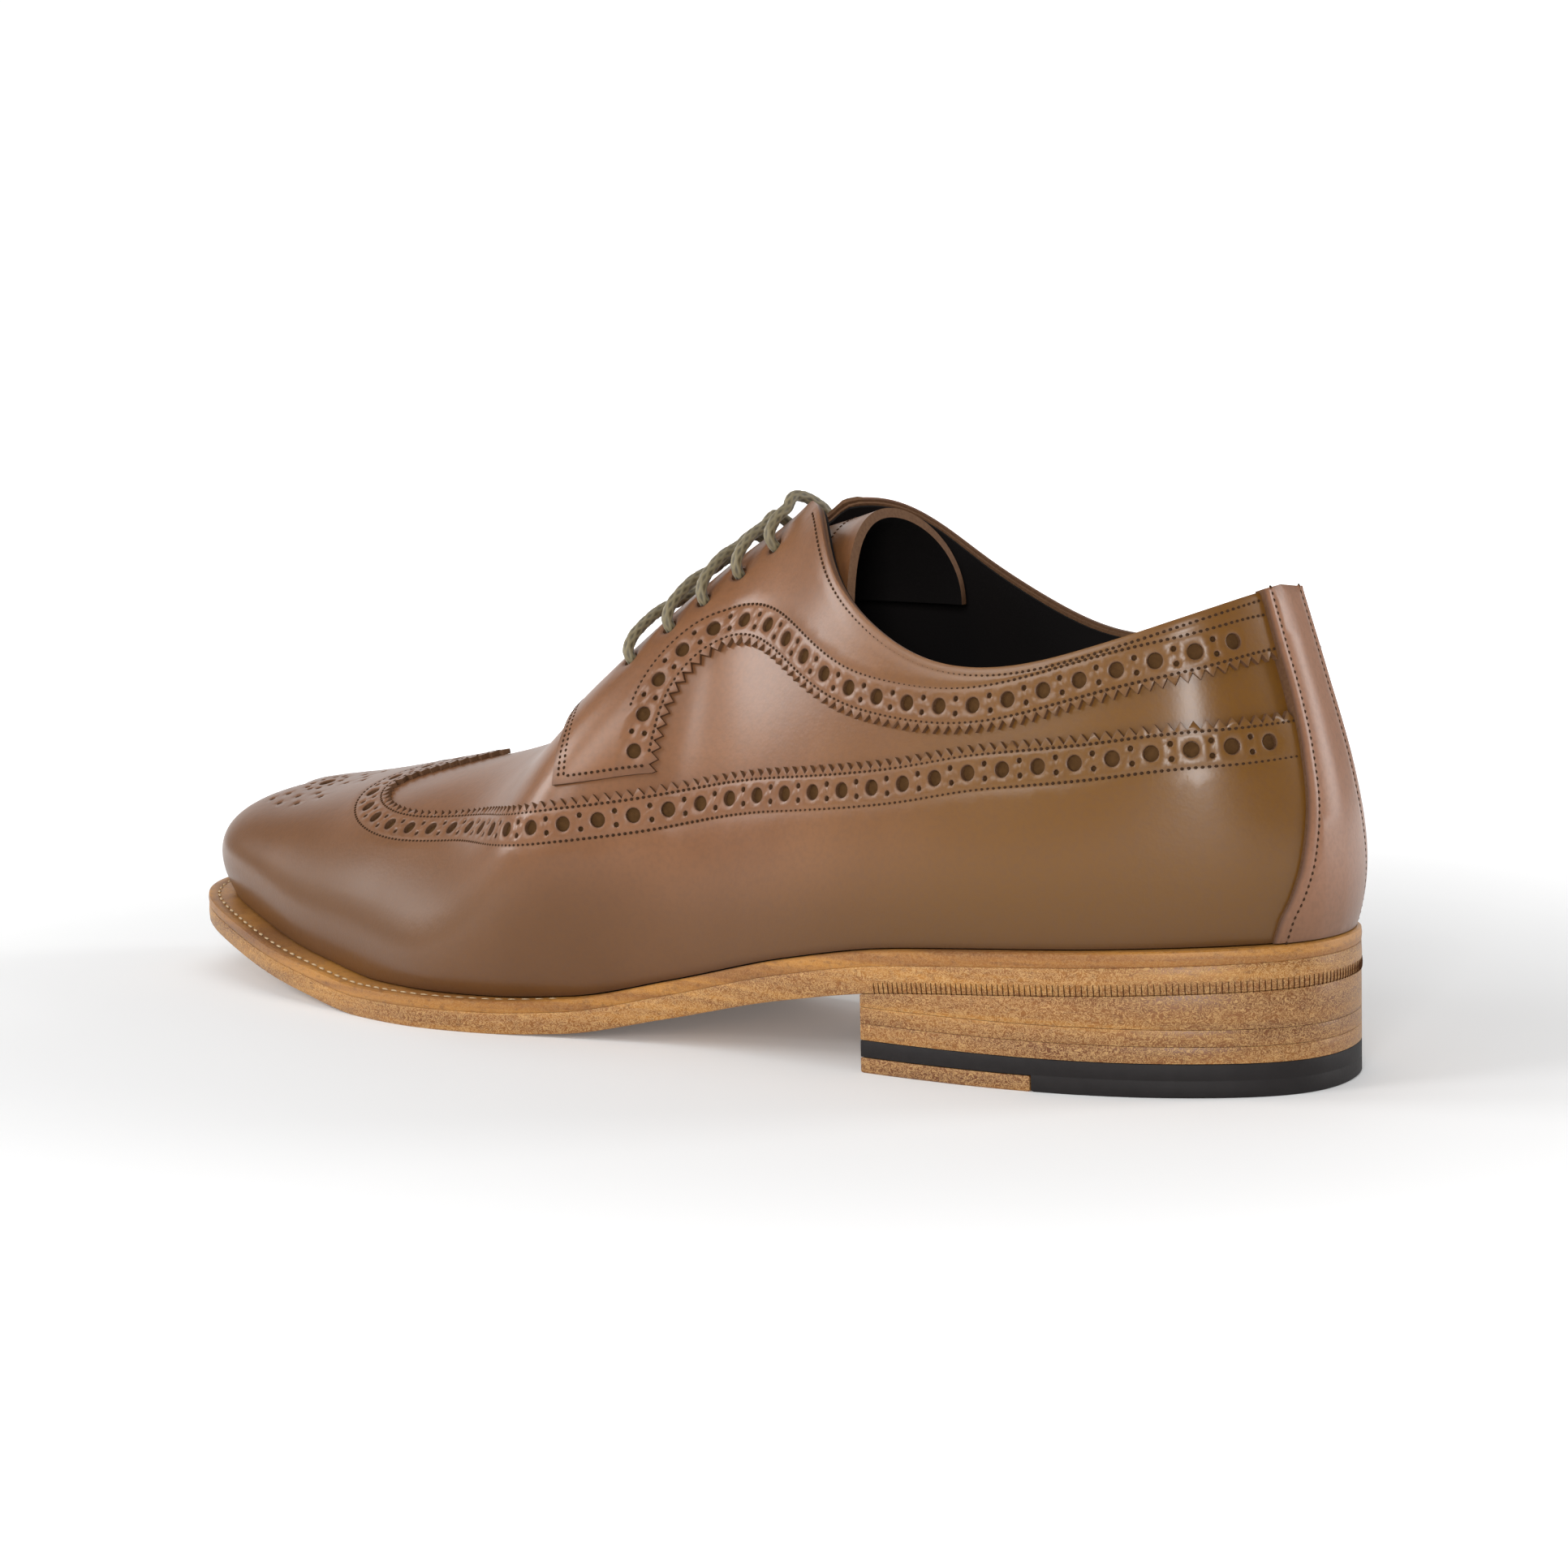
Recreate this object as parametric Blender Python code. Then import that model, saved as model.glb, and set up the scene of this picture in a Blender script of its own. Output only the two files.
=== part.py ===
# Longwing derby brogue, left shoe, as an assembly of separate solids.
# The toe points along -X, the lateral side lies at -Y, and the shoe stands on z = 0.
import bpy
import numpy as np
from mathutils.geometry import delaunay_2d_cdt

# Driving dimensions, in metres
soleLength = 0.302
ballWidth = 0.100
heelHeight = 0.0208        # floor to the underside of the outsole at the back
heelLength = 0.086         # back of the heel to its breast
toeSpring = 0.0112
outsoleThickness = 0.0046
weltThickness = 0.0028
weltLedge = 0.0062         # from the sole's edge in to the foot of the upper
upperHeight = 0.084        # seat to the unit line of the crown
collarWidth = 0.058
wallThickness = 0.0018     # vamp and quarters with their lining
overlayStep = 0.0012       # wing and facings over the vamp and quarters
stripStep = 0.0012         # back strip over the wing
swellSize = 0.010
reachSize = 0.020
insoleThickness = 0.0022   # insole above the welt
tongueThickness = 0.0020
tongueWidth = 0.042
tongueHeight = 0.021
tongueGap = 0.0010         # between the facings' inside and the tongue
laceDiameter = 0.0023
laceRise = 0.0016          # lace above the ridge of the facings
eyeletRadius = 0.0024
rubberThickness = 0.0066
insertThickness = 0.0031
insertLength = 0.040
liftThickness = 0.0033
clearance = 0.0003

overlayWall = wallThickness + overlayStep
seatLevel = heelHeight + outsoleThickness + weltThickness


def table(columns, *rows):
    return {name: np.array([row[i] for row in rows], float) for i, name in enumerate(columns.split())}


# Sole outline: station is a share of soleLength, lateral and medial of ballWidth, ledge of weltLedge.
outline = table(
    "station lateral medial ledge",
    (0.000, 0.000, 0.000, 0.23),    # heel back
    (0.028, 0.180, 0.225, 0.36),
    (0.080, 0.287, 0.298, 0.38),
    (0.150, 0.357, 0.330, 0.36),    # seat
    (0.260, 0.384, 0.315, 0.34),    # breast
    (0.360, 0.374, 0.280, 0.36),
    (0.460, 0.375, 0.270, 0.40),    # waist
    (0.560, 0.447, 0.330, 0.55),
    (0.660, 0.500, 0.440, 0.86),
    (0.750, 0.452, 0.510, 1.08),    # ball
    (0.840, 0.382, 0.470, 1.13),
    (0.920, 0.284, 0.345, 1.13),    # toe
    (0.975, 0.178, 0.214, 1.00),
    (1.000, -0.008, 0.008, 0.89))

# Underside of the outsole: shares of heelHeight behind the ball, of toeSpring before it.
underside = table(
    "station heel toe",
    (0.00, 1.00, 0.00), (0.10, 0.94, 0.00), (0.26, 0.80, 0.00), (0.36, 0.58, 0.00),
    (0.46, 0.26, 0.00), (0.54, 0.04, 0.00), (0.60, 0.00, 0.00), (0.72, 0.00, 0.00),
    (0.80, 0.00, 0.24), (0.90, 0.00, 0.69), (1.00, 0.00, 1.18))

# Thickness along the sole: shares of outsoleThickness and weltThickness.
layers = table(
    "station outsole welt",
    (0.00, 1.17, 1.10), (0.26, 1.18, 1.10), (0.50, 1.03, 1.00), (0.70, 0.90, 0.90), (1.00, 0.78, 0.85))

# One rib of the upper per row of the outline, from the foot to the crown. station is a share of soleLength,
# half of collarWidth, height of upperHeight, swell of swellSize, reach of reachSize, rise and drop of the
# rib's own height; turn is the crown's outward direction in degrees and tilt its cross slope.
ribs = table(
    "station half height swell rise reach drop turn tilt",
    (0.047, 0.00, 0.895, 0.62, 0.330, 0.28, 0.30, 0, 0.00),
    (0.055, 0.20, 0.876, 0.76, 0.310, 0.31, 0.30, 35, 0.00),
    (0.083, 0.34, 0.863, 0.53, 0.307, 0.30, 0.30, 65, 0.00),
    (0.141, 0.43, 0.845, 0.42, 0.300, 0.20, 0.28, 82, 0.00),
    (0.242, 0.47, 0.860, 0.45, 0.320, 0.15, 0.25, 90, 0.00),
    (0.347, 0.33, 0.975, 0.60, 0.330, 0.28, 0.20, 90, 0.00),
    (0.443, 0.00, 0.925, 0.81, 0.330, 1.25, 0.10, 90, 0.00),
    (0.554, 0.00, 0.595, 1.00, 0.245, 2.70, 0.06, 90, 0.02),
    (0.645, 0.00, 0.370, 0.95, 0.265, 1.45, 0.00, 90, 0.05),
    (0.739, 0.00, 0.283, 0.70, 0.400, 1.35, 0.00, 90, 0.07),
    (0.819, 0.00, 0.227, 0.60, 0.472, 1.20, 0.00, 98, 0.12),
    (0.886, 0.00, 0.183, 0.61, 0.522, 1.35, 0.00, 118, 0.18),
    (0.926, 0.00, 0.163, 0.68, 0.525, 1.05, 0.00, 150, 0.17),
    (0.934, 0.00, 0.152, 0.68, 0.510, 0.67, 0.00, 180, 0.15))
firstRidgeRow = 6   # from this row on the two sides meet on the ridge

# The ridge's sideways shift to the medial side, a share of ballWidth.
ridge = table("station shift", (0.00, 0.00), (0.55, 0.00), (0.75, 0.02), (0.90, 0.03), (1.00, 0.03))

# Pattern lines on the upper: place runs from the heel back (0) to the toe tip (1), girth from the
# foot (0) to the crown (1).
topline = table(
    "place lateral medial",
    (0.000, 0.898, 0.898), (0.034, 0.896, 0.896), (0.061, 0.890, 0.890), (0.110, 0.856, 0.862),
    (0.180, 0.777, 0.792), (0.230, 0.736, 0.756), (0.275, 0.726, 0.750), (0.310, 0.744, 0.772),
    (0.343, 0.785, 0.815), (0.363, 0.828, 0.860), (0.381, 0.889, 0.915), (0.402, 0.965, 0.975),
    (0.418, 0.985, 0.988))
wingEdge = table(
    "place girth",
    (0.020, 0.574), (0.093, 0.585), (0.162, 0.560), (0.236, 0.523), (0.287, 0.463), (0.361, 0.393),
    (0.443, 0.370), (0.491, 0.415), (0.541, 0.503), (0.588, 0.567), (0.635, 0.600), (0.700, 0.616),
    (0.742, 0.668), (0.764, 0.745), (0.770, 0.825), (0.757, 0.885), (0.728, 0.940), (0.702, 1.000))
facingEdge = table(
    "place girth",
    (0.020, 0.724), (0.045, 0.727), (0.094, 0.706), (0.142, 0.671), (0.189, 0.620), (0.238, 0.573),
    (0.302, 0.545), (0.343, 0.546), (0.386, 0.581), (0.425, 0.620), (0.457, 0.625), (0.470, 0.580),
    (0.473, 0.500), (0.473, 0.422))
facingHem = table("place girth", (0.473, 0.422), (0.502, 0.470), (0.535, 0.534))
facingFront = table(
    "place girth",
    (0.535, 0.534), (0.540, 0.620), (0.547, 0.710), (0.562, 0.800), (0.585, 0.890), (0.610, 0.960))
stripEdge = table(
    "lateral medial girth",
    (0.045, 0.048, 0.000), (0.042, 0.046, 0.060), (0.036, 0.042, 0.116), (0.028, 0.036, 0.219),
    (0.022, 0.030, 0.402), (0.022, 0.030, 0.496), (0.024, 0.032, 0.618), (0.029, 0.038, 0.752),
    (0.034, 0.044, 0.896))
throat = table("place gap", (0.418, 0.0058), (0.456, 0.0050), (0.500, 0.0044), (0.560, 0.0036), (0.610, 0.0026))
eyelets = table(
    "place girth",
    (0.514, 0.770), (0.494, 0.778), (0.478, 0.793), (0.462, 0.818), (0.441, 0.856))

# Tongue: place along the ridge and the girth where each half arch ends; the last row is the free end.
tongueRows = table("place girth", (0.700, 0.80), (0.640, 0.72), (0.580, 0.67), (0.520, 0.68), (0.456, 0.75))
tongueEnd = table("station half height middle", (0.336, 0.47, 0.965, -0.030))

colours = {
    "leather": (0.29, 0.135, 0.075, 1), "welt": (0.52, 0.27, 0.10, 1), "sole": (0.56, 0.29, 0.11, 1),
    "lift": (0.50, 0.25, 0.10, 1), "rubber": (0.022, 0.018, 0.018, 1), "insole": (0.40, 0.26, 0.15, 1),
    "lace": (0.16, 0.12, 0.055, 1)}


def clearScene():
    for item in list(bpy.data.objects):
        bpy.data.objects.remove(item, do_unlink=True)


# Curves through table rows

def spline(x, y, q):
    # natural cubic spline
    n, h = len(x), np.diff(x)
    a, r = np.zeros((n, n)), np.zeros(n)
    a[0, 0] = a[-1, -1] = 1
    for i in range(1, n - 1):
        a[i, i - 1:i + 2] = h[i - 1], 2 * (h[i - 1] + h[i]), h[i]
        r[i] = 6 * ((y[i + 1] - y[i]) / h[i] - (y[i] - y[i - 1]) / h[i - 1])
    m = np.linalg.solve(a, r)
    i = np.clip(np.searchsorted(x, q) - 1, 0, n - 2)
    t, w = q - x[i], h[i]
    bend = (m[i] * (w - t) ** 3 + m[i + 1] * t ** 3) / (6 * w)
    return bend + (y[i] / w - m[i] * w / 6) * (w - t) + (y[i + 1] / w - m[i + 1] * w / 6) * t


def steady(x, y, q):
    # monotone cubic, which keeps flat stretches flat
    h = np.diff(x)
    d = np.diff(y) / h
    m = np.zeros(len(x))
    m[0], m[-1] = d[0], d[-1]
    for i in range(1, len(x) - 1):
        if d[i - 1] * d[i] > 0:
            a, b = 2 * h[i] + h[i - 1], h[i] + 2 * h[i - 1]
            m[i] = (a + b) / (a / d[i - 1] + b / d[i])
    i = np.clip(np.searchsorted(x, q) - 1, 0, len(x) - 2)
    t, w = (q - x[i]) / h[i], h[i]
    start = y[i] * (1 + 2 * t) * (1 - t) ** 2 + m[i] * w * t * (1 - t) ** 2
    return start + y[i + 1] * t * t * (3 - 2 * t) + m[i + 1] * w * t * t * (t - 1)


meanHalf = (outline["lateral"] + outline["medial"]) / 2 * ballWidth
rowLength = np.hypot(np.diff(outline["station"] * soleLength), np.diff(meanHalf))
rowPlace = np.concatenate([[0], np.cumsum(rowLength)]) / rowLength.sum()
ridgePlace = rowPlace[firstRidgeRow]


def around(lateral, medial, s):
    # closed spline over a table column: s runs 0 to 1 on the lateral side and 1 to 2 back on the medial
    x = np.concatenate([rowPlace, 2 - rowPlace[-2:0:-1]])
    y = np.concatenate([lateral, medial[-2:0:-1]])
    return spline(np.concatenate([x - 2, x, x + 2]), np.tile(y, 3), np.mod(s, 2))


def column(source, name, s):
    return around(source[name], source[name], s)


# Sole forms

def soleEdge(s, inset=0.0):
    # distance from the heel, side offset and outward normal of the sole's outline, moved in by inset
    def along(q):
        return column(outline, "station", q) * soleLength

    def across(q):
        return around(-outline["lateral"], outline["medial"], q) * ballWidth

    s, step = np.asarray(s, float), 1e-4
    da, dy = along(s + step) - along(s - step), across(s + step) - across(s - step)
    size = np.hypot(da, dy)
    na, ny = dy / size, -da / size
    return along(s) - na * inset, across(s) - ny * inset, na, ny


def undersideHeight(a):
    u = a / soleLength
    rear = steady(underside["station"], underside["heel"], u) * heelHeight
    return rear + steady(underside["station"], underside["toe"], u) * toeSpring


def outsoleTop(a):
    return undersideHeight(a) + steady(layers["station"], layers["outsole"], a / soleLength) * outsoleThickness


def weltTop(a):
    return outsoleTop(a) + steady(layers["station"], layers["welt"], a / soleLength) * weltThickness


# The upper's form

def footInset(s):
    return column(outline, "ledge", s) * weltLedge


def rib(s, t):
    # point of the upper's outer form as (distance from the heel, side offset, height)
    s, t = np.broadcast_arrays(np.asarray(s, float), np.asarray(t, float))
    side = np.where(np.mod(s, 2) <= 1, -1.0, 1.0)
    place = np.where(side < 0, np.mod(s, 2), 2 - np.mod(s, 2))
    footA, footY, na, ny = soleEdge(s, footInset(s))
    footZ = weltTop(footA) + clearance
    crownA = column(ribs, "station", s) * soleLength
    half = np.where(place >= ridgePlace, 0, np.maximum(column(ribs, "half", s), 0)) * collarWidth
    shift = steady(ridge["station"], ridge["shift"], crownA / soleLength) * ballWidth
    crownZ = seatLevel + column(ribs, "height", s) * upperHeight
    step = 1e-3
    near = np.minimum(place, 0.98)
    climb = (column(ribs, "height", near + step) - column(ribs, "height", near - step)) * upperHeight
    run = (column(ribs, "station", near + step) - column(ribs, "station", near - step)) * soleLength
    slope = np.clip(climb / (run + 1e-9), -1.2, 0.3)
    turn = np.radians(column(ribs, "turn", s))
    outA, outY = -np.cos(turn), side * np.sin(turn)
    outZ = np.where(place >= ridgePlace, slope * outA + column(ribs, "tilt", s) * outY, 0)
    height = crownZ - footZ
    swell = column(ribs, "swell", s) * swellSize
    reach = column(ribs, "reach", s) * reachSize
    foot = np.stack([footA, footY, footZ], -1)
    crown = np.stack([crownA, side * half + shift, crownZ], -1)
    low = foot + np.stack([na * swell, ny * swell, column(ribs, "rise", s) * height], -1)
    high = crown + np.stack([outA * reach, outY * reach, outZ * reach - column(ribs, "drop", s) * height], -1)
    weights = ((1 - t) ** 3, 3 * t * (1 - t) ** 2, 3 * t * t * (1 - t), t ** 3)
    return sum(p * w[..., None] for p, w in zip((foot, low, high, crown), weights))


def ribNormal(s, t):
    s, t = np.broadcast_arrays(np.asarray(s, float), np.minimum(np.asarray(t, float), 0.985))
    step = 2e-3
    around_ = rib(s + step, t) - rib(s - step, t)
    up = rib(s, t + step) - rib(s, np.maximum(t - step, 0))
    n = np.cross(around_, up)
    return n / np.linalg.norm(n, axis=-1)[..., None]


def upperPoint(s, t, depth):
    # point at a depth under the outer form; the foot moves level and the ridge is the same from both sides
    s, t = np.atleast_1d(s).astype(float), np.atleast_1d(t).astype(float)
    n = ribNormal(s, t)
    onRidge = (t > 0.999)
    n[onRidge] = n[onRidge] + ribNormal(2 - s, t)[onRidge]
    _, _, na, ny = soleEdge(s)
    onFoot = t < 0.001
    n[onFoot] = np.stack([na, ny, 0 * na], -1)[onFoot]
    n /= np.linalg.norm(n, axis=-1)[:, None]
    return rib(s, t) - n * np.asarray(depth)[..., None]


def tangentFrame(s, t):
    # the steps of s and t that move one metre along the form, and one metre up it
    step = 1e-3
    t = min(t, 0.985)
    du = ((rib(s + step, t) - rib(s - step, t)) / (2 * step)).reshape(3)
    dv = ((rib(s, t + step) - rib(s, t - step)) / (2 * step)).reshape(3)
    first = du / np.linalg.norm(du)
    n = ribNormal(s, t).reshape(3)
    second = np.cross(n, first)
    second *= np.sign(second @ dv)
    m = np.linalg.inv(np.array([[du @ first, dv @ first], [du @ second, dv @ second]]))
    return m


def beside(s, t, along, up):
    # the place and girth of a point that lies some metres along and up the form from (s, t)
    return np.array([s, t]) + tangentFrame(s, t) @ np.array([along, up])


def girthAtGap(s, gap):
    # the girth where the form lies a gap to the side of its ridge
    low, high = np.full(len(s), 0.5), np.ones(len(s))
    crown = rib(s, np.ones(len(s)))[:, 0] / soleLength
    middle = steady(ridge["station"], ridge["shift"], crown) * ballWidth
    for _ in range(24):
        mid = (low + high) / 2
        wide = np.abs(rib(s, mid)[:, 1] - middle) > gap
        low, high = np.where(wide, mid, low), np.where(wide, high, mid)
    return (low + high) / 2


# Solids from charts: a flat layout of points, cut into triangles and lifted to its true place

def place3d(p):
    # (distance from the heel, side offset, height) to the shoe's own frame
    p = np.asarray(p, float)
    return np.stack([soleLength / 2 - p[..., 0], p[..., 1], p[..., 2]], -1)


def chart(s, t):
    # flat layout of the upper: the ridge and collar inside, the foot outside
    s, t = np.atleast_1d(s).astype(float), np.atleast_1d(t).astype(float)
    crown = rib(s, np.ones(len(s)))
    side = np.where(np.mod(s, 2) <= 1, -1.0, 1.0)
    turn = np.radians(column(ribs, "turn", s))
    shift = steady(ridge["station"], ridge["shift"], crown[:, 0] / soleLength) * ballWidth
    fan = (1 - t) * upperHeight
    return np.stack([crown[:, 0] - fan * np.cos(turn), crown[:, 1] - shift + side * fan * np.sin(turn)], -1)


def inside(polygon, points):
    # even and odd crossings, one row per point
    x, y = points[:, :1], points[:, 1:]
    x0, y0 = polygon[:, 0], polygon[:, 1]
    x1, y1 = np.roll(x0, -1), np.roll(y0, -1)
    crosses = (y0 > y) != (y1 > y)
    at = x0 + (y - y0) * (x1 - x0) / np.where(y1 == y0, 1e-12, y1 - y0)
    return (np.count_nonzero(crosses & (x < at), axis=1) % 2) == 1


class Layout:
    # points with their (s, t) or (a, y), and the edges that the triangles keep
    def __init__(self):
        self.points, self.flat, self.edges, self.index = [], [], [], {}

    def add(self, values, flat):
        ids = []
        for value, spot in zip(values, flat):
            key = (round(float(spot[0]), 7), round(float(spot[1]), 7))
            if key not in self.index:
                self.index[key] = len(self.points)
                self.points.append(value)
                self.flat.append(spot)
            ids.append(self.index[key])
        return ids

    def line(self, values, flat, closed=False):
        ids = self.add(values, flat)
        self.edges += [(a, b) for a, b in zip(ids, ids[1:] + ids[:1] if closed else ids[1:]) if a != b]
        return ids

    def fill(self, values, flat, gap):
        # free points, left out where they crowd a line
        lines = np.array([[self.flat[a], self.flat[b]] for a, b in self.edges])
        start, run = lines[:, 0], lines[:, 1] - lines[:, 0]
        length = (run ** 2).sum(1) + 1e-15
        kept = []
        for k, spot in enumerate(flat):
            u = np.clip(((spot - start) * run).sum(1) / length, 0, 1)
            if np.linalg.norm(start + run * u[:, None] - spot, axis=1).min() > gap:
                kept.append(k)
        self.add([values[k] for k in kept], [flat[k] for k in kept])

    def triangles(self, keep):
        spots, _, faces, origin, _, _ = delaunay_2d_cdt(
            [tuple(f) for f in self.flat], self.edges, [], 0, 1e-7)
        source = [o[0] for o in origin]
        faces = np.array([[source[i] for i in face] for face in faces])
        flat = np.array(self.flat)
        first, second = flat[faces[:, 1]] - flat[faces[:, 0]], flat[faces[:, 2]] - flat[faces[:, 0]]
        area = np.abs(first[:, 0] * second[:, 1] - first[:, 1] * second[:, 0])
        return faces[keep(flat[faces].mean(1)) & (area > 1e-9)]


def stepShell(points, faces, level, lift):
    # closed solid over a triangulated chart; lift(point indices, level) gives places, level -1 the far side
    columns = {}
    for face, own in zip(faces, level):
        for v in face:
            columns.setdefault(v, set()).add(int(own))
    keys = [(v, k) for v in sorted(columns) for k in sorted(columns[v] | {-1})]
    number = {key: i for i, key in enumerate(keys)}
    spots = np.zeros((len(keys), 3))
    for k in sorted({key[1] for key in keys}):
        rows = [i for i, key in enumerate(keys) if key[1] == k]
        spots[rows] = lift(np.array([keys[i][0] for i in rows]), k)
    solid, owner = [], {}
    for face, own in zip(faces, level):
        a, b, c = (int(v) for v in face)
        solid.append((number[a, own], number[b, own], number[c, own]))
        solid.append((number[c, -1], number[b, -1], number[a, -1]))
        for edge in ((a, b), (b, c), (c, a)):
            owner[edge] = int(own)

    def wall(a, b, low, high):
        left = [k for k in sorted(columns[a] | {-1}) if low <= k <= high]
        right = [k for k in sorted(columns[b] | {-1}) if low <= k <= high]
        ring = [number[a, k] for k in left[::-1]] + [number[b, k] for k in right]
        if len(left) == 2 and len(right) == 2:
            return [(ring[0], ring[1], ring[2]), (ring[0], ring[2], ring[3])]
        tris, i, j = [], 0, 0
        while i < len(left) - 1 or j < len(right) - 1:
            if j == len(right) - 1 or (i < len(left) - 1 and left[i + 1] <= right[j + 1]):
                tris.append((number[a, left[i + 1]], number[a, left[i]], number[b, right[j]]))
                i += 1
            else:
                tris.append((number[a, left[i]], number[b, right[j]], number[b, right[j + 1]]))
                j += 1
        return tris

    for (a, b), own in owner.items():
        other = owner.get((b, a), -1)
        if own > other:
            solid += wall(a, b, other, own)
    return spots, np.array(solid)


def volume(spots, faces):
    a, b, c = (spots[faces[:, k]] for k in range(3))
    return float(np.einsum("ij,ij->i", a, np.cross(b, c)).sum() / 6)


def makeObject(name, spots, faces, finish, smoothAngle=35):
    faces = np.array(faces)
    if volume(spots, faces) < 0:
        faces = faces[:, ::-1]
    mesh = bpy.data.meshes.new(name)
    mesh.from_pydata([tuple(v) for v in spots], [], faces.tolist())
    mesh.validate()
    mesh.shade_smooth()
    mesh.set_sharp_from_angle(angle=np.radians(smoothAngle))
    material = bpy.data.materials.get(finish) or bpy.data.materials.new(finish)
    material.use_nodes = True
    shader = material.node_tree.nodes["Principled BSDF"]
    shader.inputs["Base Color"].default_value = colours[finish]
    shader.inputs["Roughness"].default_value = 0.7 if finish in ("rubber", "lace") else 0.4
    mesh.materials.append(material)
    item = bpy.data.objects.new(name, mesh)
    bpy.context.collection.objects.link(item)
    return item


# The upper

def lineThrough(x, y, count):
    # smooth line through chosen rows, evenly spaced
    x, y = np.asarray(x, float), np.asarray(y, float)
    run = np.concatenate([[0], np.cumsum(np.hypot(np.diff(x), np.diff(y)) ** 0.5)])
    fine = np.linspace(0, run[-1], 400)
    fx, fy = spline(run, x, fine), spline(run, y, fine)
    true = np.concatenate([[0], np.cumsum(np.hypot(np.diff(fx) * 3, np.diff(fy)))])
    q = np.interp(np.linspace(0, true[-1], count), true, fine)
    return spline(run, x, q), spline(run, y, q)


def sided(place, side):
    return np.where(np.asarray(place) >= 0, place if side < 0 else 2 - np.asarray(place), place)


def stripPlace(girth, side):
    name = "lateral" if side < 0 else "medial"
    return steady(stripEdge["girth"], stripEdge[name], np.asarray(girth, float))


def patternLines(side):
    # the lines of one side as (s, t) arrays
    name = "lateral" if side < 0 else "medial"
    lines = {}
    p = np.linspace(throat["place"][0], throat["place"][-1], 14)
    lines["slot"] = (p, girthAtGap(sided(p, side), steady(throat["place"], throat["gap"], p)))
    rows = topline[name].copy()
    rows[-1] = lines["slot"][1][0]
    place, girth = lineThrough(topline["place"], rows, 34)
    start = float(stripPlace(girth[0], side))
    behind = np.linspace(0, start, 4)
    later = place > start + 0.008
    place, girth = np.concatenate([behind, place[later]]), np.concatenate([
        spline(topline["place"], rows, behind), girth[later]])
    lines["top"] = (place, girth)
    p, t = lineThrough(facingFront["place"], facingFront["girth"], 9)
    t[-1] = lines["slot"][1][-1]
    lines["front"] = (p, t)
    lines["hem"] = lineThrough(facingHem["place"], facingHem["girth"], 6)
    p, t = lineThrough(facingEdge["place"], facingEdge["girth"], 38)
    p[0] = stripPlace(t[0], side)
    keep = np.r_[True, p[1:] > p[0] + 0.006]
    lines["facing"] = (p[keep], t[keep])
    p, t = lineThrough(wingEdge["place"], wingEdge["girth"], 46)
    p[0] = stripPlace(t[0], side)
    keep = np.r_[True, p[1:] > p[0] + 0.006]
    lines["wing"] = (p[keep], t[keep])
    knots = [0.0, lines["wing"][1][0], lines["facing"][1][0], girth[3]]
    t = np.concatenate([np.linspace(a, b, n)[:-1] for a, b, n in zip(knots, knots[1:], (10, 4, 4))] + [[girth[3]]])
    lines["strip"] = (stripPlace(t, side), t)
    return {key: (sided(p, side), t) for key, (p, t) in lines.items()}


def eyeletRing(place, girth, side, radius, sides=8):
    ring = []
    for k in range(sides):
        angle = 2 * np.pi * (k + 0.5) / sides
        s, t = beside(place, girth, radius * np.cos(angle), radius * np.sin(angle))
        ring.append((s if side < 0 else 2 - s, t))
    return np.array(ring).T


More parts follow.
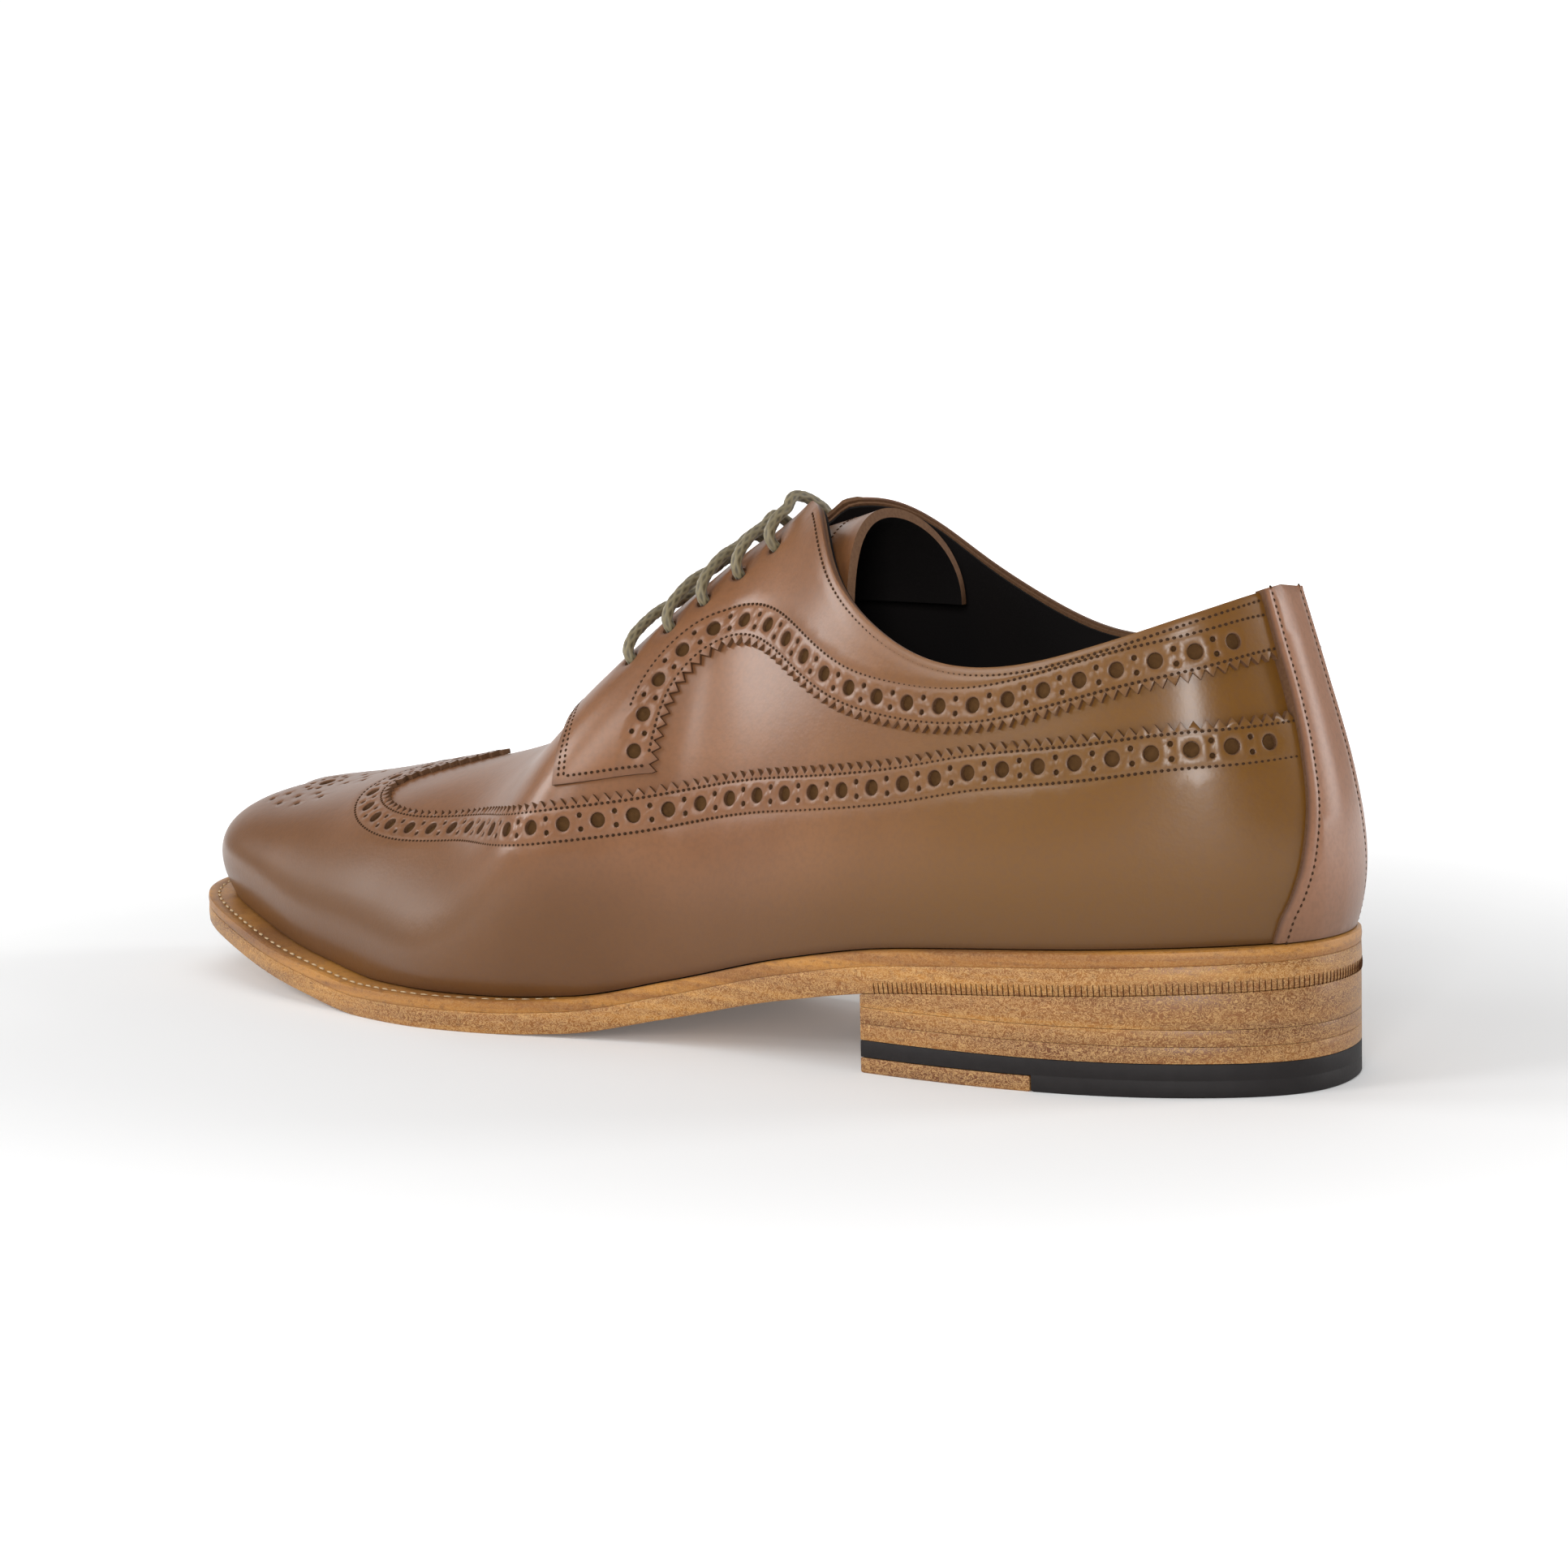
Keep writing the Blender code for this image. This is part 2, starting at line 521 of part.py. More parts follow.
def buildUpper():
    layout = Layout()
    sides = {-1: patternLines(-1), 1: patternLines(1)}

    def draw(line, closed=False):
        s, t = np.asarray(line[0]), np.asarray(line[1])
        return layout.line(list(zip(s, t)), chart(s, t), closed)

    foot = np.linspace(0, 2, 88, endpoint=False)
    marks = np.array([sides[-1]["strip"][0][0], sides[1]["strip"][0][0]])
    foot = np.array([q for q in foot if np.abs(q - marks).min() > 0.008] + list(marks))
    foot.sort()
    outer = draw((foot, 0 * foot), True)
    for side in (-1, 1):
        for name in ("top", "slot", "front", "hem", "facing", "wing", "strip"):
            draw(sides[side][name])
    ends = [(sides[side]["slot"][0][-1], sides[side]["slot"][1][-1]) for side in (-1, 1)]
    middle = (throat["place"][-1], 1.0)
    draw(np.array([ends[0], middle, ends[1]]).T)
    holes = []
    for side in (-1, 1):
        for place, girth in zip(eyelets["place"], eyelets["girth"]):
            ring = eyeletRing(place, girth, side, eyeletRadius)
            draw(ring, True)
            holes.append(chart(*ring))

    def joined(side, *names):
        parts = [chart(*sides[side][name.strip("-")]) for name in names]
        return np.concatenate([p[::-1] if n.startswith("-") else p for p, n in zip(parts, names)])

    opening = np.concatenate([
        joined(-1, "top", "slot"), chart([middle[0]], [1.0]), joined(1, "-slot", "-top")])
    vamp = np.concatenate([joined(-1, "wing"), joined(1, "-wing")])
    facings = [joined(side, "top", "slot", "-front", "-hem", "-facing") for side in (-1, 1)]
    # the facing polygon runs along the top line, down the throat and back along the facing's own edge
    strip = np.concatenate([joined(-1, "strip"), joined(1, "-strip")])
    border = chart(foot, 0 * foot)

    s, t = np.meshgrid(np.linspace(0, 2, 72, endpoint=False), np.linspace(0.0, 1.0, 14)[1:-1])
    s, t = s.ravel(), t.ravel()
    flat = chart(s, t)
    within = inside(border, flat) & ~inside(opening, flat)
    for hole in holes:
        within &= ~inside(hole, flat)
    ridgeP = np.linspace(throat["place"][-1], 1, 12)[1:]
    draw((ridgeP, np.ones(len(ridgeP))))
    layout.fill(list(zip(s[within], t[within])), flat[within], 0.0026)

    def keep(middles):
        good = inside(border, middles) & ~inside(opening, middles)
        for hole in holes:
            good &= ~inside(hole, middles)
        return good

    faces = layout.triangles(keep)
    middles = np.array(layout.flat)[faces].mean(1)
    level = np.where(inside(vamp, middles), 0, 1)
    for facing in facings:
        level[inside(facing, middles)] = 1
    level[inside(strip, middles)] = 2
    st = np.array(layout.points)
    depths = {-1: overlayWall, 0: overlayStep, 1: 0.0, 2: -stripStep}

    def lift(rows, k):
        return place3d(upperPoint(st[rows, 0], st[rows, 1], np.full(len(rows), depths[k])))

    spots, solid = stepShell(st, faces, level, lift)
    return makeObject("upper", spots, solid, "leather", 30)


# Plates of the sole, heel and insole

def plateOutline(inset, count, start=0.0, stop=2.0):
    s = np.linspace(start, stop, count, endpoint=stop - start < 2)
    a, y, _, _ = soleEdge(s, inset(s) if callable(inset) else inset)
    return np.stack([a, y], -1)


def plate(name, border, low, high, finish, spacing, hole=None, cut=None, lowCut=None):
    # solid between two height functions over an outline; lowCut is the floor of the part behind the cut
    layout = Layout()
    layout.line(list(border), border, True)
    if hole is not None:
        layout.line(list(hole), hole, True)
    if cut is not None:
        layout.line(list(cut), cut)
    a = np.arange(border[:, 0].min(), border[:, 0].max(), spacing)
    y = np.arange(border[:, 1].min(), border[:, 1].max(), spacing * 1.6)
    grid = np.stack(np.meshgrid(a, y), -1).reshape(-1, 2)
    within = inside(border, grid)
    if hole is not None:
        within &= ~inside(hole, grid)
    layout.fill(list(grid[within]), grid[within], spacing * 0.45)

    def keep(middles):
        good = inside(border, middles)
        return good & ~inside(hole, middles) if hole is not None else good

    faces = layout.triangles(keep)
    flat = np.array(layout.flat)
    level = np.zeros(len(faces), int)
    if cut is not None:
        level[flat[faces].mean(1)[:, 0] < cut[0, 0]] = 1
    floors = {0: low, 1: lowCut or low}

    def lift(rows, k):
        p = flat[rows]
        return place3d(np.column_stack([p, high(p[:, 0]) if k < 0 else floors[k](p[:, 0])]))

    spots, solid = stepShell(flat, faces, level, lift)
    return makeObject(name, spots, solid, finish)


def flatAt(height):
    return lambda a: np.full(np.shape(a), height)


def heelOutline():
    # back of the sole's outline, closed by the straight breast
    s = np.linspace(0, 0.5, 400)
    breast = [np.interp(heelLength, soleEdge(side * s)[0], s) * side for side in (1, -1)]
    rear = plateOutline(0.0, 41, breast[1], breast[0])
    across = np.linspace(rear[-1], rear[0], 9)[1:-1]
    return np.concatenate([rear, across])


def buildSole():
    edge = plateOutline(0.0, 96)
    plate("outsole", edge, undersideHeight, outsoleTop, "sole", 0.012)
    rim = plateOutline(lambda s: footInset(s) + overlayWall, 96)
    plate("welt", edge, lambda a: outsoleTop(a) + clearance, weltTop, "welt", 0.02, hole=rim)
    board = plateOutline(lambda s: footInset(s) + overlayWall + 2 * clearance, 72)
    plate("insole", board, lambda a: outsoleTop(a) + clearance, lambda a: weltTop(a) + insoleThickness,
          "insole", 0.014)


def buildHeel():
    rear = heelOutline()
    base = rubberThickness
    for k in (1, 2):
        top = base + liftThickness
        plate("heel_lift_%d" % k, rear, flatAt(base + clearance), flatAt(top), "lift", 0.02)
        base = top
    plate("heel_lift_3", rear, flatAt(base + clearance), lambda a: undersideHeight(a) - clearance, "lift", 0.014)
    split = heelLength - insertLength
    at = [i for i in range(len(rear) - 1) if (rear[i, 0] - split) * (rear[i + 1, 0] - split) < 0]
    cross = []
    for i in at:
        u = (split - rear[i, 0]) / (rear[i + 1, 0] - rear[i, 0])
        cross.append(rear[i] + (rear[i + 1] - rear[i]) * u)
    cross = np.array(sorted(cross, key=lambda p: p[1]))
    border = rear
    for i, spot in sorted(zip(at, sorted(cross, key=lambda p: np.linalg.norm(p - rear[at[0]]))), reverse=True):
        border = np.insert(border, i + 1, spot, axis=0)
    seam = np.linspace(cross[0], cross[1], 5)
    plate("heel_rubber", border, flatAt(insertThickness + clearance), flatAt(rubberThickness), "rubber", 0.02,
          cut=seam, lowCut=flatAt(0.0))
    front = rear[rear[:, 0] > split + clearance]
    ends = [np.array([split + clearance, c[1]]) for c in cross]
    order = np.argsort(np.arctan2(front[:, 1], front[:, 0] - split - insertLength / 2))
    front = np.concatenate([front[order], ends])
    middle = front.mean(0)
    front = front[np.argsort(np.arctan2(front[:, 1] - middle[1], front[:, 0] - middle[0]))]
    plate("heel_insert", front, flatAt(0.0), flatAt(insertThickness), "lift", 0.02)


# Tongue and laces

def buildTongue():
    depth = overlayWall + tongueGap
    p = np.linspace(tongueRows["place"][0], tongueRows["place"][-1], 15)
    order = np.argsort(tongueRows["place"])
    low = steady(tongueRows["place"][order], tongueRows["girth"][order], p)
    count = 11
    rows = []
    for place, girth in zip(p, low):
        t = 1 - (1 - girth) * np.linspace(1, 0, count) ** 0.8
        left = upperPoint(np.full(count, place), t, np.full(count, depth))
        right = upperPoint(np.full(count, 2 - place), t, np.full(count, depth))
        rows.append(np.concatenate([left, right[-2::-1]]))
    last = rows[-1]
    angle = np.linspace(-np.pi / 2, np.pi / 2, 2 * count - 1)
    end = np.stack([
        np.full(len(angle), tongueEnd["station"][0] * soleLength),
        (np.sin(angle) * tongueEnd["half"][0] + tongueEnd["middle"][0]) * tongueWidth,
        seatLevel + tongueEnd["height"][0] * upperHeight - tongueHeight * (1 - np.cos(angle))], -1)
    for u in (0.2, 0.4, 0.6, 0.8, 1.0):
        rows.append(last * (1 - u) + end * u)
    outer = np.array(rows)
    along = np.gradient(outer, axis=0)
    across = np.gradient(outer, axis=1)
    n = np.cross(along, across)
    n /= np.linalg.norm(n, axis=-1)[..., None]
    n *= np.sign(n[len(rows) // 2, count - 1, 2])
    inner = outer - n * tongueThickness
    return gridSolid("tongue", outer, inner, "leather")


def gridSolid(name, outer, inner, finish):
    # closed solid between two grids of points
    m, n = outer.shape[:2]
    spots = place3d(np.concatenate([outer.reshape(-1, 3), inner.reshape(-1, 3)]))
    top = np.arange(m * n).reshape(m, n)
    under = top + m * n
    faces = []

    def quad(a, b, c, d):
        faces.extend([(a, b, c), (a, c, d)])

    for i in range(m - 1):
        for j in range(n - 1):
            quad(top[i, j], top[i + 1, j], top[i + 1, j + 1], top[i, j + 1])
            quad(under[i, j], under[i, j + 1], under[i + 1, j + 1], under[i + 1, j])
    for i in range(m - 1):
        quad(top[i + 1, 0], top[i, 0], under[i, 0], under[i + 1, 0])
        quad(top[i, -1], top[i + 1, -1], under[i + 1, -1], under[i, -1])
    for j in range(n - 1):
        quad(top[0, j], top[0, j + 1], under[0, j + 1], under[0, j])
        quad(top[-1, j + 1], top[-1, j], under[-1, j], under[-1, j + 1])
    return makeObject(name, spots, np.array(faces), finish)


def lacePath(place, girth):
    # one bar, from inside one eyelet over both facings into the other
    steps = np.array([0.0, 0.02, 0.12, 0.30, 0.55, 0.80, 1.0])
    rise = np.array([-0.0008, 0.0006, 0.0020, 0.0024, 0.0024, 0.0020, 0.0])
    half = []
    for u, h in zip(steps[:-1], rise[:-1]):
        t = girth + (1 - girth) * u
        point = upperPoint([place], [t], [-h])[0]
        other = upperPoint([2 - place], [t], [-h])[0]
        half.append((point, other))
    crown = upperPoint([place], [1.0], [-laceRise - laceDiameter / 2])[0]
    return np.array([p for p, _ in half] + [crown] + [q for _, q in half[::-1]])


def buildLaces():
    for k, (place, girth) in enumerate(zip(eyelets["place"], eyelets["girth"]), 1):
        route = place3d(lacePath(place, girth))
        run = np.concatenate([[0], np.cumsum(np.linalg.norm(np.diff(route, axis=0), axis=1))])
        fine = np.linspace(0, run[-1], 19)
        points = np.stack([spline(run, route[:, i], fine) for i in range(3)], -1)
        tube("lace_%d" % k, points, laceDiameter / 2, 8, "lace")


def tube(name, points, radius, sides, finish):
    along = np.gradient(points, axis=0)
    along /= np.linalg.norm(along, axis=1)[:, None]
    first = np.cross(along, (1.0, 0.0, 0.0))
    first /= np.linalg.norm(first, axis=1)[:, None]
    second = np.cross(along, first)
    angle = 2 * np.pi * np.arange(sides) / sides
    ring = first[:, None] * np.cos(angle)[None, :, None] + second[:, None] * np.sin(angle)[None, :, None]
    spots = (points[:, None] + radius * ring).reshape(-1, 3)
    faces = []
    for i in range(len(points) - 1):
        for j in range(sides):
            a, b = i * sides + j, i * sides + (j + 1) % sides
            faces.extend([(a, b, b + sides), (a, b + sides, a + sides)])
    last = (len(points) - 1) * sides
    for j in range(1, sides - 1):
        faces.append((0, j + 1, j))
        faces.append((last, last + j, last + j + 1))
    return makeObject(name, spots, np.array(faces), finish)


def centreModel():
    # the origin is the middle of the whole shoe's box, on the floor
    spots = np.concatenate([np.array([v.co[:] for v in o.data.vertices]) for o in bpy.data.objects])
    shift = -(spots.min(0) + spots.max(0)) / 2
    for item in bpy.data.objects:
        for v in item.data.vertices:
            v.co.x += shift[0]
            v.co.y += shift[1]
        item.data.update()
    print("centred by %.5f %.5f" % (shift[0], shift[1]))


clearScene()
buildSole()
buildHeel()
buildUpper()
buildTongue()
buildLaces()
centreModel()
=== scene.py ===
# Longwing brogue, left shoe: the looks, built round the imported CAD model.
# The toe points along -X, the lateral side lies at -Y, and the shoe stands on z = 0.
import math

import bmesh
import bpy
import numpy as np
from mathutils import Matrix, Vector, kdtree
from mathutils.geometry import delaunay_2d_cdt


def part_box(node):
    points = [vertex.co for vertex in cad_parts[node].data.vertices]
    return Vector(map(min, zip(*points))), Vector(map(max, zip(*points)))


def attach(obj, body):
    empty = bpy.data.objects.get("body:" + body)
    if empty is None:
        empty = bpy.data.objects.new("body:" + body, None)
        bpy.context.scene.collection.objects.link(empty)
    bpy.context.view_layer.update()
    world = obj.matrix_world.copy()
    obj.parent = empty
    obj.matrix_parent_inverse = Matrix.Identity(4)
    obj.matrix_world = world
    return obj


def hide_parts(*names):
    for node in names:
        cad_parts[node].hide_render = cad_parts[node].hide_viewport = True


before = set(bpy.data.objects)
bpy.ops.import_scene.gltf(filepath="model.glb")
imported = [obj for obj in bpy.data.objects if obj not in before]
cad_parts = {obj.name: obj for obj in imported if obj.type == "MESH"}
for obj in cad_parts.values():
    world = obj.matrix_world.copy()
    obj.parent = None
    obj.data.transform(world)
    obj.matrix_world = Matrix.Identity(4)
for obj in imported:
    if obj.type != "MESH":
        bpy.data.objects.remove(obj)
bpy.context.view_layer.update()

# The form's own sizes, in metres; its tables are shares of them
form = {
    "soleLength": 0.302,
    "ballWidth": 0.100,
    "heelHeight": 0.0208,
    "heelLength": 0.086,
    "toeSpring": 0.0112,
    "outsole": 0.0046,
    "welt": 0.0028,
    "ledge": 0.0062,
    "upperHeight": 0.084,
    "collarWidth": 0.058,
    "swell": 0.010,
    "reach": 0.020,
    "clearance": 0.0003,
}
soleLength, ballWidth = form["soleLength"], form["ballWidth"]
seatLevel = form["heelHeight"] + form["outsole"] + form["welt"]


def table(columns, *rows):
    return {name: np.array([row[i] for row in rows], float) for i, name in enumerate(columns.split())}


outline = table(
    "station lateral medial ledge",
    (0.000, 0.000, 0.000, 0.23), (0.028, 0.180, 0.225, 0.36), (0.080, 0.287, 0.298, 0.38),
    (0.150, 0.357, 0.330, 0.36), (0.260, 0.384, 0.315, 0.34), (0.360, 0.374, 0.280, 0.36),
    (0.460, 0.375, 0.270, 0.40), (0.560, 0.447, 0.330, 0.55), (0.660, 0.500, 0.440, 0.86),
    (0.750, 0.452, 0.510, 1.08), (0.840, 0.382, 0.470, 1.13), (0.920, 0.284, 0.345, 1.13),
    (0.975, 0.178, 0.214, 1.00), (1.000, -0.008, 0.008, 0.89))
underside = table(
    "station heel toe",
    (0.00, 1.00, 0.00), (0.10, 0.94, 0.00), (0.26, 0.80, 0.00), (0.36, 0.58, 0.00),
    (0.46, 0.26, 0.00), (0.54, 0.04, 0.00), (0.60, 0.00, 0.00), (0.72, 0.00, 0.00),
    (0.80, 0.00, 0.24), (0.90, 0.00, 0.69), (1.00, 0.00, 1.18))
layers = table(
    "station outsole welt",
    (0.00, 1.17, 1.10), (0.26, 1.18, 1.10), (0.50, 1.03, 1.00), (0.70, 0.90, 0.90), (1.00, 0.78, 0.85))
ribs = table(
    "station half height swell rise reach drop turn tilt",
    (0.047, 0.00, 0.895, 0.62, 0.330, 0.28, 0.30, 0, 0.00),
    (0.055, 0.20, 0.876, 0.76, 0.310, 0.31, 0.30, 35, 0.00),
    (0.083, 0.34, 0.863, 0.53, 0.307, 0.30, 0.30, 65, 0.00),
    (0.141, 0.43, 0.845, 0.42, 0.300, 0.20, 0.28, 82, 0.00),
    (0.242, 0.47, 0.860, 0.45, 0.320, 0.15, 0.25, 90, 0.00),
    (0.347, 0.33, 0.975, 0.60, 0.330, 0.28, 0.20, 90, 0.00),
    (0.443, 0.00, 0.925, 0.81, 0.330, 1.25, 0.10, 90, 0.00),
    (0.554, 0.00, 0.595, 1.00, 0.245, 2.70, 0.06, 90, 0.02),
    (0.645, 0.00, 0.370, 0.95, 0.265, 1.45, 0.00, 90, 0.05),
    (0.739, 0.00, 0.283, 0.70, 0.400, 1.35, 0.00, 90, 0.07),
    (0.819, 0.00, 0.227, 0.60, 0.472, 1.20, 0.00, 98, 0.12),
    (0.886, 0.00, 0.183, 0.61, 0.522, 1.35, 0.00, 118, 0.18),
    (0.926, 0.00, 0.163, 0.68, 0.525, 1.05, 0.00, 150, 0.17),
    (0.934, 0.00, 0.152, 0.68, 0.510, 0.67, 0.00, 180, 0.15))
firstRidgeRow = 6
ridge = table("station shift", (0.00, 0.00), (0.55, 0.00), (0.75, 0.02), (0.90, 0.03), (1.00, 0.03))

# Pattern lines: place runs from the heel back to the toe tip, girth from the foot to the crown
topline = table(
    "place lateral medial",
    (0.000, 0.898, 0.898), (0.034, 0.896, 0.896), (0.061, 0.890, 0.890), (0.110, 0.856, 0.862),
    (0.180, 0.777, 0.792), (0.230, 0.736, 0.756), (0.275, 0.726, 0.750), (0.310, 0.744, 0.772),
    (0.343, 0.785, 0.815), (0.363, 0.828, 0.860), (0.381, 0.889, 0.915), (0.402, 0.965, 0.975),
    (0.418, 0.985, 0.988))
wingEdge = table(
    "place girth",
    (0.000, 0.572), (0.020, 0.574), (0.093, 0.585), (0.162, 0.560), (0.236, 0.523), (0.287, 0.463),
    (0.361, 0.393), (0.443, 0.370), (0.491, 0.415), (0.541, 0.503), (0.588, 0.567), (0.635, 0.600),
    (0.700, 0.616), (0.742, 0.668), (0.764, 0.745), (0.770, 0.825), (0.757, 0.885), (0.728, 0.940),
    (0.702, 1.000))
facingEdge = table(
    "place girth",
    (0.000, 0.724), (0.020, 0.724), (0.045, 0.727), (0.094, 0.706), (0.142, 0.671), (0.189, 0.620),
    (0.238, 0.573), (0.302, 0.545), (0.343, 0.546), (0.386, 0.581), (0.425, 0.620), (0.457, 0.625),
    (0.470, 0.580), (0.473, 0.500), (0.473, 0.422))
facingHem = table("place girth", (0.473, 0.422), (0.502, 0.470), (0.535, 0.534))
facingFront = table(
    "place girth",
    (0.535, 0.534), (0.540, 0.620), (0.547, 0.710), (0.562, 0.800), (0.585, 0.890), (0.610, 0.960))
stripEdge = table(
    "lateral medial girth",
    (0.045, 0.054, 0.000), (0.042, 0.053, 0.060), (0.036, 0.051, 0.116), (0.028, 0.047, 0.219),
    (0.022, 0.043, 0.402), (0.022, 0.043, 0.496), (0.024, 0.044, 0.618), (0.029, 0.048, 0.752),
    (0.034, 0.052, 0.896))
throat = table(
    "place gap", (0.418, 0.0058), (0.456, 0.0050), (0.500, 0.0044), (0.560, 0.0036), (0.610, 0.0026))
eyelets = table(
    "place girth",
    (0.514, 0.770), (0.494, 0.778), (0.478, 0.793), (0.462, 0.818), (0.441, 0.856))
tongueRows = table("place girth", (0.700, 0.80), (0.640, 0.72), (0.580, 0.67), (0.520, 0.68), (0.456, 0.75))


# Curves through table rows

class Curve:
    # natural cubic spline, worked out once
    def __init__(self, x, y):
        self.x, self.y = np.asarray(x, float), np.asarray(y, float)
        n, self.h = len(self.x), np.diff(self.x)
        a, r = np.zeros((n, n)), np.zeros(n)
        a[0, 0] = a[-1, -1] = 1
        for i in range(1, n - 1):
            a[i, i - 1:i + 2] = self.h[i - 1], 2 * (self.h[i - 1] + self.h[i]), self.h[i]
            slope = np.diff(self.y[i - 1:i + 2]) / self.h[i - 1:i + 1]
            r[i] = 6 * (slope[1] - slope[0])
        self.m = np.linalg.solve(a, r)

    def __call__(self, q):
        i = np.clip(np.searchsorted(self.x, q) - 1, 0, len(self.x) - 2)
        t, w, m, y = q - self.x[i], self.h[i], self.m, self.y
        bend = (m[i] * (w - t) ** 3 + m[i + 1] * t ** 3) / (6 * w)
        return bend + (y[i] / w - m[i] * w / 6) * (w - t) + (y[i + 1] / w - m[i + 1] * w / 6) * t


def steady(x, y, q):
    # monotone cubic, which keeps flat stretches flat
    h = np.diff(x)
    d = np.diff(y) / h
    m = np.zeros(len(x))
    m[0], m[-1] = d[0], d[-1]
    for i in range(1, len(x) - 1):
        if d[i - 1] * d[i] > 0:
            a, b = 2 * h[i] + h[i - 1], h[i] + 2 * h[i - 1]
            m[i] = (a + b) / (a / d[i - 1] + b / d[i])
    i = np.clip(np.searchsorted(x, q) - 1, 0, len(x) - 2)
    t, w = (q - x[i]) / h[i], h[i]
    start = y[i] * (1 + 2 * t) * (1 - t) ** 2 + m[i] * w * t * (1 - t) ** 2
    return start + y[i + 1] * t * t * (3 - 2 * t) + m[i + 1] * w * t * t * (t - 1)


meanHalf = (outline["lateral"] + outline["medial"]) / 2 * ballWidth
rowLength = np.hypot(np.diff(outline["station"] * soleLength), np.diff(meanHalf))
rowPlace = np.concatenate([[0], np.cumsum(rowLength)]) / rowLength.sum()
ridgePlace = rowPlace[firstRidgeRow]


def closedCurve(lateral, medial):
    x = np.concatenate([rowPlace, 2 - rowPlace[-2:0:-1]])
    y = np.concatenate([lateral, medial[-2:0:-1]])
    return Curve(np.concatenate([x - 2, x, x + 2]), np.tile(y, 3))


ribCurves = {name: closedCurve(ribs[name], ribs[name]) for name in ribs}
soleCurves = {
    "along": closedCurve(outline["station"] * soleLength, outline["station"] * soleLength),
    "across": closedCurve(-outline["lateral"] * ballWidth, outline["medial"] * ballWidth),
    "ledge": closedCurve(outline["ledge"], outline["ledge"])}


def ribColumn(name, s):
    return ribCurves[name](np.mod(s, 2))


# Sole forms

def soleEdge(s, inset=0.0):
    # distance from the heel, side offset and outward normal of the sole's outline
    s, step = np.asarray(s, float), 1e-4
    before, here, after = (
        [soleCurves[name](np.mod(q, 2)) for name in ("along", "across")] for q in (s - step, s, s + step))
    da, dy = after[0] - before[0], after[1] - before[1]
    size = np.hypot(da, dy)
    na, ny = dy / size, -da / size
    return here[0] - na * inset, here[1] - ny * inset, na, ny


def undersideHeight(a):
    u = a / soleLength
    rear = steady(underside["station"], underside["heel"], u) * form["heelHeight"]
    return rear + steady(underside["station"], underside["toe"], u) * form["toeSpring"]


def outsoleTop(a):
    share = steady(layers["station"], layers["outsole"], a / soleLength)
    return undersideHeight(a) + share * form["outsole"]


def weltTop(a):
    return outsoleTop(a) + steady(layers["station"], layers["welt"], a / soleLength) * form["welt"]


def footInset(s):
    return soleCurves["ledge"](np.mod(s, 2)) * form["ledge"]


# The upper's form: depth 0 is the outside of wing and facings

def rib(s, t):
    s, t = np.broadcast_arrays(np.asarray(s, float), np.asarray(t, float))
    over = t > 1
    s, t = np.where(over, 2 - s, s), np.where(over, 2 - t, t)   # past the ridge lies the other side
    side = np.where(np.mod(s, 2) <= 1, -1.0, 1.0)
    place = np.where(side < 0, np.mod(s, 2), 2 - np.mod(s, 2))
    footA, footY, na, ny = soleEdge(s, footInset(s))
    footZ = weltTop(footA) + form["clearance"]
    crownA = ribColumn("station", s) * soleLength
    half = np.where(place >= ridgePlace, 0, np.maximum(ribColumn("half", s), 0)) * form["collarWidth"]
    shift = steady(ridge["station"], ridge["shift"], crownA / soleLength) * ballWidth
    crownZ = seatLevel + ribColumn("height", s) * form["upperHeight"]
    step = 1e-3
    near = np.minimum(place, 0.98)
    climb = (ribColumn("height", near + step) - ribColumn("height", near - step)) * form["upperHeight"]
    run = (ribColumn("station", near + step) - ribColumn("station", near - step)) * soleLength
    slope = np.clip(climb / (run + 1e-9), -1.2, 0.3)
    turn = np.radians(ribColumn("turn", s))
    outA, outY = -np.cos(turn), side * np.sin(turn)
    outZ = np.where(place >= ridgePlace, slope * outA + ribColumn("tilt", s) * outY, 0)
    height = crownZ - footZ
    swell = ribColumn("swell", s) * form["swell"]
    reach = ribColumn("reach", s) * form["reach"]
    foot = np.stack([footA, footY, footZ], -1)
    crown = np.stack([crownA, side * half + shift, crownZ], -1)
    low = foot + np.stack([na * swell, ny * swell, ribColumn("rise", s) * height], -1)
    high = crown + np.stack([outA * reach, outY * reach, outZ * reach - ribColumn("drop", s) * height], -1)
    weights = ((1 - t) ** 3, 3 * t * (1 - t) ** 2, 3 * t * t * (1 - t), t ** 3)
    return sum(p * w[..., None] for p, w in zip((foot, low, high, crown), weights))


def ribSlopes(s, t, step=1e-3):
    t = np.clip(t, step, 0.995)
    du = (rib(s + step, t) - rib(s - step, t)) / (2 * step)
    dv = (rib(s, t + step) - rib(s, t - step)) / (2 * step)
    return du, dv


def folded(s, t):
    s, t = np.atleast_1d(s).astype(float), np.atleast_1d(t).astype(float)
    over = t > 1
    return np.where(over, 2 - s, s), np.where(over, 2 - t, t)


def unit(v):
    return v / np.linalg.norm(v, axis=-1, keepdims=True)


def ribNormal(s, t):
    s, t = folded(s, t)
    du, dv = ribSlopes(s, t)
    n = unit(np.cross(du, dv))
    near = t > 0.97       # the two sides share one direction on the ridge
    if near.any():
        du, dv = ribSlopes(2 - s[near], t[near])
        other = unit(np.cross(du, dv))
        onRidge = ribColumn("half", s[near])[:, None] < 0.02
        w = ((t[near] - 0.97) / 0.03)[:, None] * 0.5 * onRidge
        n[near] = unit(n[near] * (1 - w) + other * w)
    _, _, na, ny = soleEdge(s)
    low = np.clip(1 - t / 0.03, 0, 1)[:, None]
    return unit(n * (1 - low) + np.stack([na, ny, 0 * na], -1) * low)


